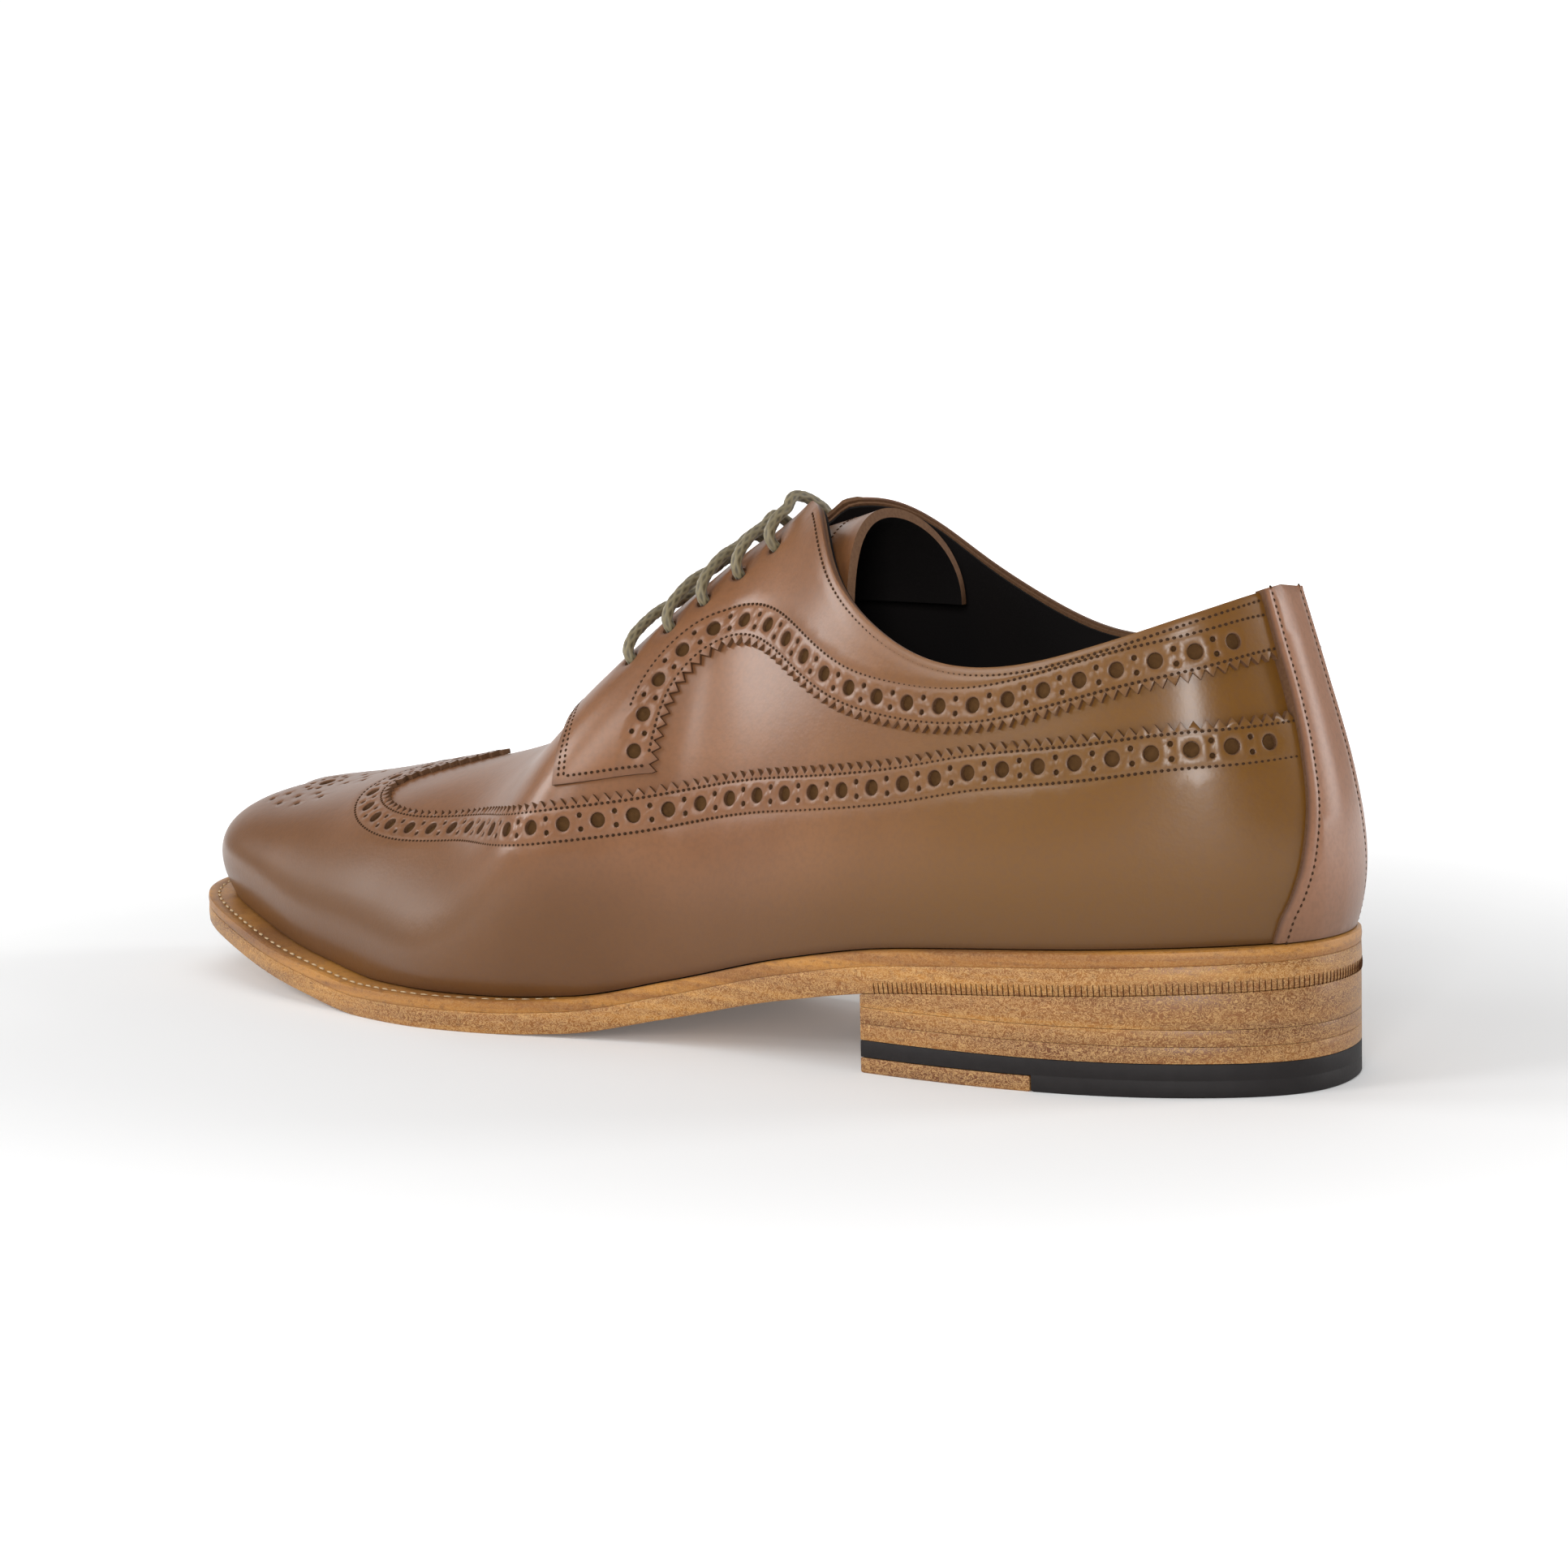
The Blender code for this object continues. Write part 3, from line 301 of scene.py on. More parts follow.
def surfaceStep(s, t, move):
    # the (s, t) reached by a small move in space along the form
    s, t = folded(s, t)
    du, dv = ribSlopes(s, t)
    a, b, c = (du * du).sum(-1), (du * dv).sum(-1), (dv * dv).sum(-1)
    p, q = (du * move).sum(-1), (dv * move).sum(-1)
    det = a * c - b * b
    return s + (c * p - b * q) / det, t + (a * q - b * p) / det


def toWorld(p):
    p = np.asarray(p, float)
    return np.stack([soleLength / 2 - p[..., 0] + centre[0], p[..., 1] + centre[1], p[..., 2]], -1)


def outwards(n):
    return n * np.array([-1.0, 1.0, 1.0])


def findCentre():
    # the CAD model was moved so that its box is centred: read the move off its outsole
    a, y, _, _ = soleEdge(np.linspace(0, 2, 96, endpoint=False))
    low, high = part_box("outsole")
    middle = ((low.x + high.x) / 2, (low.y + high.y) / 2)
    return middle[0] - (soleLength / 2 - (a.min() + a.max()) / 2), middle[1] - (y.min() + y.max()) / 2


centre = findCentre()
print("form ready, centre", [round(c * 1000, 2) for c in centre])


# Lines on the form

class Line:
    # a line of (place, girth) on one side of the form, walked by its real length
    def __init__(self, place, girth, dense=True):
        self.p, self.t = np.asarray(place, float), np.asarray(girth, float)
        if dense:
            self.smooth()
        self.measure()

    def smooth(self):
        run = np.concatenate([[0], np.cumsum(np.sqrt(np.hypot(np.diff(self.p) * 4, np.diff(self.t))))])
        fine = np.linspace(0, run[-1], 600)
        self.p, self.t = Curve(run, self.p)(fine), Curve(run, self.t)(fine)

    def measure(self):
        points = rib(self.p, np.minimum(self.t, 1))
        self.run = np.concatenate([[0], np.cumsum(np.linalg.norm(np.diff(points, axis=0), axis=1))])
        self.length = self.run[-1]

    def at(self, distance):
        return np.interp(distance, self.run, self.p), np.interp(distance, self.run, self.t)

    def every(self, pitch, start=0.0, end=None):
        end = self.length if end is None else end
        count = max(2, int(round((end - start) / pitch)) + 1)
        return self.at(np.linspace(start, end, count))

    def shifted(self, width, steps=4):
        # beside the line: below it when width is above 0
        p, t = self.p.copy(), self.t.copy()
        for _ in range(steps):
            points = rib(p, np.minimum(t, 1.0))
            along = unit(np.gradient(points, axis=0))
            across = unit(np.cross(along, ribNormal(p, np.minimum(t, 1))))
            p, t = surfaceStep(p, np.minimum(t, 1.0), across * width / steps)
        return p, t

    def beside(self, width):
        p, t = self.shifted(width)
        inside = t <= 1
        last = len(t) if inside.all() else int(np.argmin(inside))
        p, t = p[:last], t[:last]
        line = Line(p, t, dense=False)
        return line

    def near(self, width, stops):
        # the points square to the line at the given distances along it
        p, t = self.shifted(width)
        return np.interp(stops, self.run, p), np.minimum(np.interp(stops, self.run, t), 1.0)

    def part(self, start, end):
        p, t = self.at(np.linspace(start, end, 400))
        return Line(p, t, dense=False)


def sided(place, side):
    return np.asarray(place) if side < 0 else 2 - np.asarray(place)


def chart(s, t):
    # flat layout of the upper: the ridge and collar inside, the foot outside
    s, t = folded(s, t)
    crown = rib(s, np.ones(len(s)))
    side = np.where(np.mod(s, 2) <= 1, -1.0, 1.0)
    turn = np.radians(ribColumn("turn", s))
    shift = steady(ridge["station"], ridge["shift"], crown[:, 0] / soleLength) * ballWidth
    fan = (1 - t) * form["upperHeight"]
    return np.stack([crown[:, 0] - fan * np.cos(turn), crown[:, 1] - shift + side * fan * np.sin(turn)], -1)


# Sheets of leather cut from the form

class Cut:
    # points with their (s, t) and dip, the edges that the triangles keep, and those that bound the sheet
    def __init__(self):
        self.s, self.t, self.dip, self.edge = [], [], [], []
        self.flat, self.lines = [], []
        self.bounds, self.known = set(), {}

    def add(self, s, t, dip=0.0, edge=0.0):
        s, t = folded(s, t)
        dip, edge = np.broadcast_to(dip, s.shape), np.broadcast_to(edge, s.shape)
        ids = []
        for spot, *value in zip(chart(s, t), s, t, dip, edge):
            key = (round(float(spot[0]), 6), round(float(spot[1]), 6))
            if key not in self.known:
                self.known[key] = len(self.s)
                self.flat.append(spot)
                for store, v in zip((self.s, self.t, self.dip, self.edge), value):
                    store.append(float(v))
            ids.append(self.known[key])
        return ids

    def line(self, s, t, dip=0.0, edge=0.0, closed=False, bound=False):
        ids = self.add(s, t, dip, edge)
        pairs = [(a, b) for a, b in zip(ids, ids[1:] + ids[:1] if closed else ids[1:]) if a != b]
        if bound:
            self.bounds |= set(range(len(self.lines), len(self.lines) + len(pairs)))
        self.lines += pairs

    def search(self):
        tree = kdtree.KDTree(len(self.flat))
        for i, spot in enumerate(self.flat):
            tree.insert((spot[0], spot[1], 0), i)
        tree.balance()
        return tree

    def fill(self, s, t, gap):
        tree, flat = self.search(), chart(s, t)
        seen, keep = set(), []
        for k, spot in enumerate(flat):
            cell = (int(spot[0] / gap), int(spot[1] / gap))
            if cell in seen or tree.find((spot[0], spot[1], 0))[2] < gap * 0.8:
                continue
            seen.add(cell)
            keep.append(k)
        self.add(s[keep], t[keep])

    def triangles(self):
        flat = [tuple(f) for f in self.flat]
        spots, edges, faces, origin, sources, _ = delaunay_2d_cdt(flat, self.lines, [], 0, 1e-8)
        number = self.crossings(np.array([tuple(v) for v in spots]), origin)
        faces = [tuple(number[i] for i in face) for face in faces]
        bounds = {tuple(sorted((number[a], number[b]))) for (a, b), source in zip(edges, sources)
                  if any(i in self.bounds for i in source)}
        meets = {}
        for k, (a, b, c) in enumerate(faces):
            for edge in ((a, b), (b, c), (c, a)):
                meets.setdefault((min(edge), max(edge)), []).append(k)
        state, queue = {}, []
        for edge, owners in meets.items():
            if len(owners) == 1 and owners[0] not in state:
                state[owners[0]] = edge in bounds
                queue.append(owners[0])
        while queue:
            k = queue.pop()
            a, b, c = faces[k]
            for edge in ((a, b), (b, c), (c, a)):
                pair = (min(edge), max(edge))
                for other in meets[pair]:
                    if other not in state:
                        state[other] = state[k] ^ (pair in bounds)
                        queue.append(other)
        flat = np.array(self.flat)
        inner = np.array([f for k, f in enumerate(faces) if state[k]])
        first, second = flat[inner[:, 1]] - flat[inner[:, 0]], flat[inner[:, 2]] - flat[inner[:, 0]]
        return inner[np.abs(first[:, 0] * second[:, 1] - first[:, 1] * second[:, 0]) > 1e-12]

    def crossings(self, spots, origin):
        # a point made where two lines cross takes its place on the form from the nearest one
        number = [o[0] if o else -1 for o in origin]
        new = [k for k, i in enumerate(number) if i < 0]
        if not new:
            return number
        tree = self.search()
        near = [tree.find((*spots[k], 0))[1] for k in new]
        s, t, goal = np.array([self.s[i] for i in near]), np.array([self.t[i] for i in near]), spots[new]
        for _ in range(5):
            here, step = chart(s, t), 1e-4
            back = np.where(t > 0.5, -step, step)
            ds, dt = (chart(s + step, t) - here) / step, (chart(s, t + back) - here) / back[:, None]
            det = ds[:, 0] * dt[:, 1] - ds[:, 1] * dt[:, 0]
            gap = goal - here
            s = s + (gap[:, 0] * dt[:, 1] - gap[:, 1] * dt[:, 0]) / det
            t = np.clip(t + (ds[:, 0] * gap[:, 1] - ds[:, 1] * gap[:, 0]) / det, 0, 1)
        for k, own, place, girth in zip(new, near, s, t):
            number[k] = len(self.s)
            self.flat.append(spots[k])
            self.s.append(float(place))
            self.t.append(float(girth))
            self.dip.append(self.dip[own])
            self.edge.append(self.edge[own])
        return number


rolledDip = 0.00035   # edges lower than this are rolled over and keep the grain side's finish


def meshObject(name, points, faces, finishes, faceFinish=None, attributes=None, sharp=50):
    mesh = bpy.data.meshes.new(name)
    mesh.from_pydata([tuple(p) for p in points], [], [tuple(int(i) for i in f) for f in faces])
    for finish in finishes:
        mesh.materials.append(finish)
    if faceFinish is not None:
        mesh.polygons.foreach_set("material_index", np.asarray(faceFinish, np.int32))
    for key, values in (attributes or {}).items():
        layer = mesh.attributes.new(key, "FLOAT", "POINT")
        layer.data.foreach_set("value", np.asarray(values, np.float32))
    mesh.shade_smooth()
    if sharp:
        mesh.set_sharp_from_angle(angle=math.radians(sharp))
    item = bpy.data.objects.new(name, mesh)
    bpy.context.collection.objects.link(item)
    return item


def tubeFaces(rings, count, closed=False):
    # quads between neighbouring rings of count points
    faces = []
    for i in range(rings if closed else rings - 1):
        low, high = i * count, (i + 1) % rings * count
        for k in range(count):
            after = (k + 1) % count
            faces.append((low + k, low + after, high + after, high + k))
    return faces


def cutSheet(name, cut, outer, inner, finishes, uneven=None):
    # closed sheet between two depths, whose cut walls take the second finish
    faces = cut.triangles()
    used = np.unique(faces)
    back = np.full(len(cut.s), -1)
    back[used] = np.arange(len(used))
    faces = back[faces]
    s, t = np.array(cut.s)[used], np.array(cut.t)[used]
    dip, edge = np.array(cut.dip)[used], np.array(cut.edge)[used]
    base, n = rib(s, t), ribNormal(s, t)
    lift = uneven(t, base) if uneven else 0.0
    top = toWorld(base - n * (outer + dip - lift)[:, None])
    bottom = toWorld(base - n * (inner - lift)[..., None] if np.ndim(inner - lift) else base - n * inner)
    count = len(used)
    a, b, c = (top[faces[:, k]] for k in range(3))
    facing = (np.cross(b - a, c - a) * outwards(n)[faces[:, 0]]).sum()
    if facing < 0:
        faces = faces[:, ::-1]
    solid = [faces, faces[:, ::-1] + count]
    kinds = [np.zeros(len(faces)), np.ones(len(faces))]
    once = {}
    for x, y, z in faces:
        for edgePair in ((x, y), (y, z), (z, x)):
            once[edgePair] = True
    rim = [(x, y) for x, y in once if (y, x) not in once]
    walls = np.array([w for x, y in rim for w in ((y, x, x + count), (y, x + count, y + count))])
    solid.append(walls)
    rolled = np.array([min(dip[x], dip[y]) > rolledDip for x, y in rim for _ in (0, 1)])
    kinds.append(np.where(rolled, 0, 1))
    item = meshObject(
        name, np.concatenate([top, bottom]), np.concatenate(solid), finishes,
        np.concatenate(kinds), {"edge": np.concatenate([edge, np.ones(count)])})
    print("  ", name, len(item.data.polygons))
    return item


# Materials

class Wire:
    # a socket whose arithmetic adds Math nodes
    def __init__(self, finish, socket):
        self.finish, self.socket = finish, socket

    def math(self, operation, *others, turned=False):
        values = [self, *others]
        if turned:
            values.reverse()
        return self.finish.add("ShaderNodeMath", {"operation": operation}, dict(enumerate(values)))

    def __add__(self, other):
        return self.math("ADD", other)

    def __sub__(self, other):
        return self.math("SUBTRACT", other)

    def __rsub__(self, other):
        return self.math("SUBTRACT", other, turned=True)

    def __mul__(self, other):
        return self.math("MULTIPLY", other)

    __radd__, __rmul__ = __add__, __mul__

    def clear(self, low, high, start=0.0, end=1.0):
        # eased step from start to end as the value goes from low to high
        settings = {"interpolation_type": "SMOOTHSTEP"}
        values = {"Value": self, "From Min": low, "From Max": high, "To Min": start, "To Max": end}
        return self.finish.add("ShaderNodeMapRange", settings, values)


class Finish:
    # one material, where add places any node
    def __init__(self, name, **constants):
        self.material = bpy.data.materials.new(name)
        self.material.use_nodes = True
        self.tree = self.material.node_tree
        self.shader = self.tree.nodes["Principled BSDF"]
        for key, value in constants.items():
            self.shader.inputs[key.replace("_", " ")].default_value = value
        self.place = self.add("ShaderNodeTexCoord", output="Object")

    def add(self, kind, settings=None, values=None, output=0):
        node = self.tree.nodes.new(kind)
        for key, value in (settings or {}).items():
            if key == "stops":
                while len(node.color_ramp.elements) < len(value):
                    node.color_ramp.elements.new(0.5)
                for element, (at, colour) in zip(node.color_ramp.elements, value):
                    element.position, element.color = at, (*colour, 1)
            else:
                setattr(node, key, value)
        for key, value in (values or {}).items():
            self.join(node.inputs[key], value)
        return Wire(self, node.outputs[output])

    def join(self, socket, value):
        if isinstance(value, Wire):
            self.tree.links.new(value.socket, socket)
        elif isinstance(value, tuple) and len(value) == 3 and socket.type == "RGBA":
            socket.default_value = (*value, 1)
        else:
            socket.default_value = value

    def feed(self, **values):
        for key, value in values.items():
            self.join(self.shader.inputs[key.replace("_", " ")], value)
        return self.material

    def noise(self, scale, detail=3.0, rough=0.5, stretch=None, distortion=0.0):
        where = self.place
        if stretch:
            where = self.add("ShaderNodeMapping", None, {"Vector": self.place, "Scale": stretch})
        values = {
            "Vector": where, "Scale": scale, "Detail": detail, "Roughness": rough, "Distortion": distortion}
        return self.add("ShaderNodeTexNoise", None, values, "Fac")

    def cells(self, scale):
        return self.add("ShaderNodeTexVoronoi", None, {"Vector": self.place, "Scale": scale}, "Distance")

    def axis(self, name):
        return self.add("ShaderNodeSeparateXYZ", None, {"Vector": self.place}, name)

    def blend(self, factor, first, second):
        return self.add("ShaderNodeMix", {"data_type": "RGBA"}, {0: factor, 6: first, 7: second}, 2)

    def mark(self, name):
        return self.add("ShaderNodeAttribute", {"attribute_name": name}, None, "Fac")

    def bump(self, height, strength, distance, after=None):
        values = {"Height": height, "Strength": strength, "Distance": distance}
        if after:
            values["Normal"] = after
        return self.add("ShaderNodeBump", None, values)


calf = {
    "rose": (0.225, 0.095, 0.038),
    "tan": (0.180, 0.072, 0.026),
    "olive": (0.140, 0.058, 0.005),
    # the low tone is painted shade, laid on the upper's lower sides near the welt
    "low": (0.095, 0.040, 0.010),
    "edge": (0.060, 0.026, 0.014),
    "roughness": 0.38,
    "grain": 1500.0,
}


def calfLeather(name, olive=1.0, rose=0.0):
    f = Finish(name, IOR=1.40, Coat_Roughness=0.24)
    x, z = f.axis("X"), f.axis("Z")
    patch = f.noise(16.0, 3.0)
    heel = (x + (patch - 0.5) * 0.05).clear(0.012, 0.115)
    # the olive towards the heel is the leather's own tone; low darkens the sides near the welt with painted
    # shade, and the next line mixes both
    low = (z + (patch - 0.5) * 0.02).clear(0.052, 0.020)
    agedAndShaded = (heel * 0.95 + low * 0.40).clear(0.0, 1.15) * olive
    colour = f.blend(f.noise(34.0, 4.0).clear(0.30, 0.72), calf["tan"], calf["rose"])
    if rose:
        colour = f.blend(rose, colour, (0.310, 0.145, 0.085))
    colour = f.blend(agedAndShaded, colour, calf["olive"])
    # painted shade: the upper grows darker towards its bottom, near the welt
    colour = f.blend(z.clear(0.046, 0.024) * 0.55, colour, calf["low"])
    pores = f.cells(calf["grain"])
    colour = f.blend(f.noise(900.0, 2.0).clear(0.35, 0.75) * 0.22, colour, (0.10, 0.048, 0.024))
    edge = f.mark("edge")
    colour = f.blend(edge.clear(0.0, 1.0) * 0.85, colour, calf["edge"])
    rough = (calf["roughness"] - 0.05) + f.noise(70.0, 4.0) * 0.10 + edge * 0.25
    fine = f.bump(pores, 0.10, 0.00012)
    soft = f.bump(f.noise(420.0, 3.0), 0.10, 0.0004, fine)
    return f.feed(Base_Color=colour, Roughness=rough, Coat_Weight=0.24 - edge * 0.22, Normal=soft)


def plainFinish(name, tones, mix, rough, fine, bump, **constants):
    # two tones mixed by noise, and fine relief; mix and fine are scale and detail
    f = Finish(name, **constants)
    normal = f.bump(f.noise(*fine), *bump)
    return f.feed(Base_Color=f.blend(f.noise(*mix), *tones), Roughness=rough, Normal=normal)


stack = {
    "pale": (0.440, 0.190, 0.030),
    "tan": (0.255, 0.095, 0.017),
    "red": (0.120, 0.036, 0.009),
    "speck": (0.640, 0.390, 0.150),
    "pore": (0.150, 0.055, 0.014),
}


def soleLeather(name, red=0.3, shift=0.0, smooth=False):
    # cut leather edge: broad bands of brown, tangled pale fibres and dark pores
    f = Finish(name, IOR=1.46, Coat_Roughness=0.35)
    band = f.noise(1.0, 4.0, 0.6, (10.0, 10.0, 420.0)) + shift
    colour = f.blend(band.clear(0.36, 0.68), stack["tan"], stack["pale"])
    broad = f.noise(1.0, 3.0, 0.5, (16.0, 16.0, 210.0))
    colour = f.blend(broad.clear(0.50 - 0.2 * red, 0.76) * (0.60 + red * 0.4), colour, stack["red"])
    tangle = f.noise(1.0, 3.0, 0.6, (640.0, 640.0, 900.0), 2.5)
    thread = (tangle - 0.5) * (tangle - 0.5)
    fibre = thread.clear(0.0, 0.0030, 1.0, 0.0)
    pores = f.noise(1.0, 4.0, 0.6, (520.0, 520.0, 1100.0))
    colour = f.blend(pores.clear(0.48, 0.72) * 0.60, colour, stack["pore"])
    colour = f.blend(fibre * (0.22 if smooth else 0.62), colour, stack["speck"])
    normal = f.bump(fibre, 0.20 if smooth else 0.40, 0.00016)
    rough = 0.42 + fibre * 0.15
    return f.feed(Base_Color=colour, Roughness=rough, Coat_Weight=0.10, Normal=normal)


def threadFinish(name, dark, pale):
    return plainFinish(
        name, (dark, pale), (2600.0, 2.0), 0.85, (4200.0, 2.0), (0.3, 0.0001), Specular_IOR_Level=0.15)


def insoleFinish(name):
    f = Finish(name)
    colour = f.blend(f.noise(50.0, 4.0), (0.012, 0.010, 0.009), (0.026, 0.021, 0.018))
    return f.feed(Base_Color=colour, Roughness=0.6, Normal=f.bump(f.cells(1300.0), 0.15, 0.0002))


def laceFinish(name):
    f = Finish(name, Sheen_Weight=0.2)
    braid = f.mark("braid")
    # painted shade and highlight: the lace is darker in the grooves between strands and paler on their
    # crowns
    colour = f.blend(braid.clear(0.1, 0.9), (0.060, 0.046, 0.022), (0.200, 0.160, 0.085))
    colour = f.blend(f.noise(300.0, 3.0).clear(0.35, 0.7) * 0.5, colour, (0.130, 0.102, 0.050))
    return f.feed(Base_Color=colour, Roughness=0.55, Normal=f.bump(f.noise(3000.0, 2.0), 0.25, 0.0001))


finishes = {
    "wing": calfLeather("calf_wing"),
    "vamp": calfLeather("calf_vamp"),
    "facing": calfLeather("calf_facing", 0.9),
    "strip": calfLeather("calf_strip", 0.15, 0.75),
    "tongue": calfLeather("calf_tongue", 0.6),
    "cut": plainFinish(
        "cut_edge", ((0.070, 0.030, 0.013), (0.170, 0.085, 0.040)), (1400.0, 3.0), 0.75,
        (1800.0, 3.0), (0.3, 0.0002), Specular_IOR_Level=0.25),
    "lining": plainFinish(
        "black_lining", ((0.003, 0.0025, 0.0025), (0.007, 0.005, 0.0045)), (60.0, 3.0), 0.85,
        (1300.0, 2.0), (0.25, 0.0002), Specular_IOR_Level=0.15),
    "welt": soleLeather("welt_leather", 0.35, 0.0, True),
    "outsole": soleLeather("outsole_leather", 0.55),
    "lift": soleLeather("lift_leather", 0.95, -0.08),
    "rubber": plainFinish(
        "top_piece_rubber", ((0.009, 0.007, 0.007), (0.018, 0.015, 0.015)), (240.0, 4.0), 0.62,
        (1600.0, 3.0), (0.25, 0.00015), Specular_IOR_Level=0.25),
    "insole": insoleFinish("sock_lining"),
    "lace": laceFinish("waxed_lace"),
    "thread": threadFinish("brown_thread", (0.022, 0.010, 0.004), (0.060, 0.028, 0.012)),
    # painted shade: dark discs laid over the vamp inside the punched holes
    "hole": plainFinish(
        "painted_hole_shade", ((0.050, 0.024, 0.009), (0.100, 0.049, 0.018)), (900.0, 2.0), 0.9,
        (2600.0, 2.0), (0.3, 0.0001), Specular_IOR_Level=0.05),
    "mark": threadFinish("wheel_mark", (0.040, 0.014, 0.005), (0.085, 0.032, 0.010)),
    "weltThread": threadFinish("welt_thread", (0.420, 0.300, 0.170), (0.620, 0.470, 0.300)),
}
print("materials ready")


# Geometry Nodes trees

def newTree(name, inputs):
    tree = bpy.data.node_groups.new(name, "GeometryNodeTree")
    tree.interface.new_socket("Geometry", in_out="INPUT", socket_type="NodeSocketGeometry")
    for key, kind, value in inputs:
        socket = tree.interface.new_socket(key, in_out="INPUT", socket_type="NodeSocket" + kind)
        if value is not None:
            socket.default_value = value
    tree.interface.new_socket("Geometry", in_out="OUTPUT", socket_type="NodeSocketGeometry")
    return tree


def link(tree, pairs):
    for source, target in pairs:
        tree.links.new(source, target)


def sunk(tree, start, points):
    # the points moved into the leather by Sink, and the outward directions that they carry
    n = tree.nodes
    named, lower = n.new("GeometryNodeInputNamedAttribute"), n.new("ShaderNodeVectorMath")
    shift, negative = n.new("GeometryNodeSetPosition"), n.new("ShaderNodeMath")
    named.data_type = "FLOAT_VECTOR"
    named.inputs["Name"].default_value = "out"
    lower.operation, negative.operation = "SCALE", "MULTIPLY"
    negative.inputs[1].default_value = -1.0
    out = named.outputs["Attribute"]
    link(tree, [
        (start.outputs["Sink"], negative.inputs[0]), (out, lower.inputs[0]),
        (negative.outputs[0], lower.inputs["Scale"]), (lower.outputs["Vector"], shift.inputs["Offset"]),
        (points, shift.inputs["Geometry"])])
    return shift.outputs["Geometry"], out


def painted(tree, start, instances):
    n = tree.nodes
    real, smooth = n.new("GeometryNodeRealizeInstances"), n.new("GeometryNodeSetShadeSmooth")
    paint, end = n.new("GeometryNodeSetMaterial"), n.new("NodeGroupOutput")
    link(tree, [
        (instances, real.inputs["Geometry"]), (real.outputs["Geometry"], smooth.inputs["Geometry"]),
        (smooth.outputs["Geometry"], paint.inputs["Geometry"]),
        (start.outputs["Finish"], paint.inputs["Material"]),
        (paint.outputs["Geometry"], end.inputs["Geometry"])])


def stitchTree():
    # small rounded threads along edges: x along the row, z out of the leather
    tree = newTree("stitch_row", [
        ("Pitch", "Float", 0.0011), ("Length", "Float", 0.0008), ("Width", "Float", 0.0004),
        ("Height", "Float", 0.00025), ("Sink", "Float", 0.0001), ("Finish", "Material", None)])
    n = tree.nodes
    start, curve = n.new("NodeGroupInput"), n.new("GeometryNodeMeshToCurve")
    points, place = n.new("GeometryNodeCurveToPoints"), n.new("GeometryNodeInstanceOnPoints")
    points.mode = "LENGTH"
    spots, out = sunk(tree, start, points.outputs["Points"])
    axes = n.new("FunctionNodeAxesToRotation")
    axes.primary_axis, axes.secondary_axis = "Z", "X"
    ball, shaped = n.new("GeometryNodeMeshUVSphere"), n.new("GeometryNodeTransform")
    ball.inputs["Segments"].default_value, ball.inputs["Rings"].default_value = 6, 4
    ball.inputs["Radius"].default_value = 0.5
    size = n.new("ShaderNodeCombineXYZ")
    link(tree, [
        (start.outputs["Geometry"], curve.inputs["Mesh"]), (curve.outputs["Curve"], points.inputs["Curve"]),
        (start.outputs["Pitch"], points.inputs["Length"]), (spots, place.inputs["Points"]),
        (out, axes.inputs["Primary Axis"]), (points.outputs["Tangent"], axes.inputs["Secondary Axis"]),
        (axes.outputs["Rotation"], place.inputs["Rotation"]),
        (start.outputs["Length"], size.inputs["X"]), (start.outputs["Width"], size.inputs["Y"]),
        (start.outputs["Height"], size.inputs["Z"]), (ball.outputs["Mesh"], shaped.inputs["Geometry"]),
        (size.outputs["Vector"], shaped.inputs["Scale"]),
        (shaped.outputs["Geometry"], place.inputs["Instance"])])
    painted(tree, start, place.outputs["Instances"])
    return tree


def holeShadeTree():
    # a dark disc of painted shade on the floor of each punched hole, where the points carry its size and
    # direction
    tree = newTree("hole_shade_disc", [
        ("Sink", "Float", 0.0011), ("Sides", "Int", 12), ("Finish", "Material", None)])
    n = tree.nodes
    start, points = n.new("NodeGroupInput"), n.new("GeometryNodeMeshToPoints")
    spots, out = sunk(tree, start, points.outputs["Points"])
    size, turn = n.new("GeometryNodeInputNamedAttribute"), n.new("FunctionNodeAlignRotationToVector")
    size.data_type, turn.axis = "FLOAT", "Z"
    size.inputs["Name"].default_value = "size"
    disc, place = n.new("GeometryNodeMeshCircle"), n.new("GeometryNodeInstanceOnPoints")
    disc.fill_type = "NGON"
    disc.inputs["Radius"].default_value = 1.0
    link(tree, [
        (start.outputs["Geometry"], points.inputs["Mesh"]), (spots, place.inputs["Points"]),
        (out, turn.inputs["Vector"]), (turn.outputs["Rotation"], place.inputs["Rotation"]),
        (size.outputs["Attribute"], place.inputs["Scale"]),
        (start.outputs["Sides"], disc.inputs["Vertices"]), (disc.outputs["Mesh"], place.inputs["Instance"])])
    painted(tree, start, place.outputs["Instances"])
    return tree


def grown(name, source, tree, values):
    # runs a tree on an object and keeps its result as a plain mesh
    modifier = source.modifiers.new("grow", "NODES")
    modifier.node_group = tree
    for item in tree.interface.items_tree:
        if item.item_type == "SOCKET" and item.in_out == "INPUT" and item.name in values:
            modifier[item.identifier] = values[item.name]
    bpy.context.view_layer.update()
    mesh = bpy.data.meshes.new_from_object(source.evaluated_get(bpy.context.evaluated_depsgraph_get()))
    bpy.data.objects.remove(source)
    mesh.name = name
    item = bpy.data.objects.new(name, mesh)
    bpy.context.collection.objects.link(item)
    print("  ", name, len(mesh.polygons))
    return item


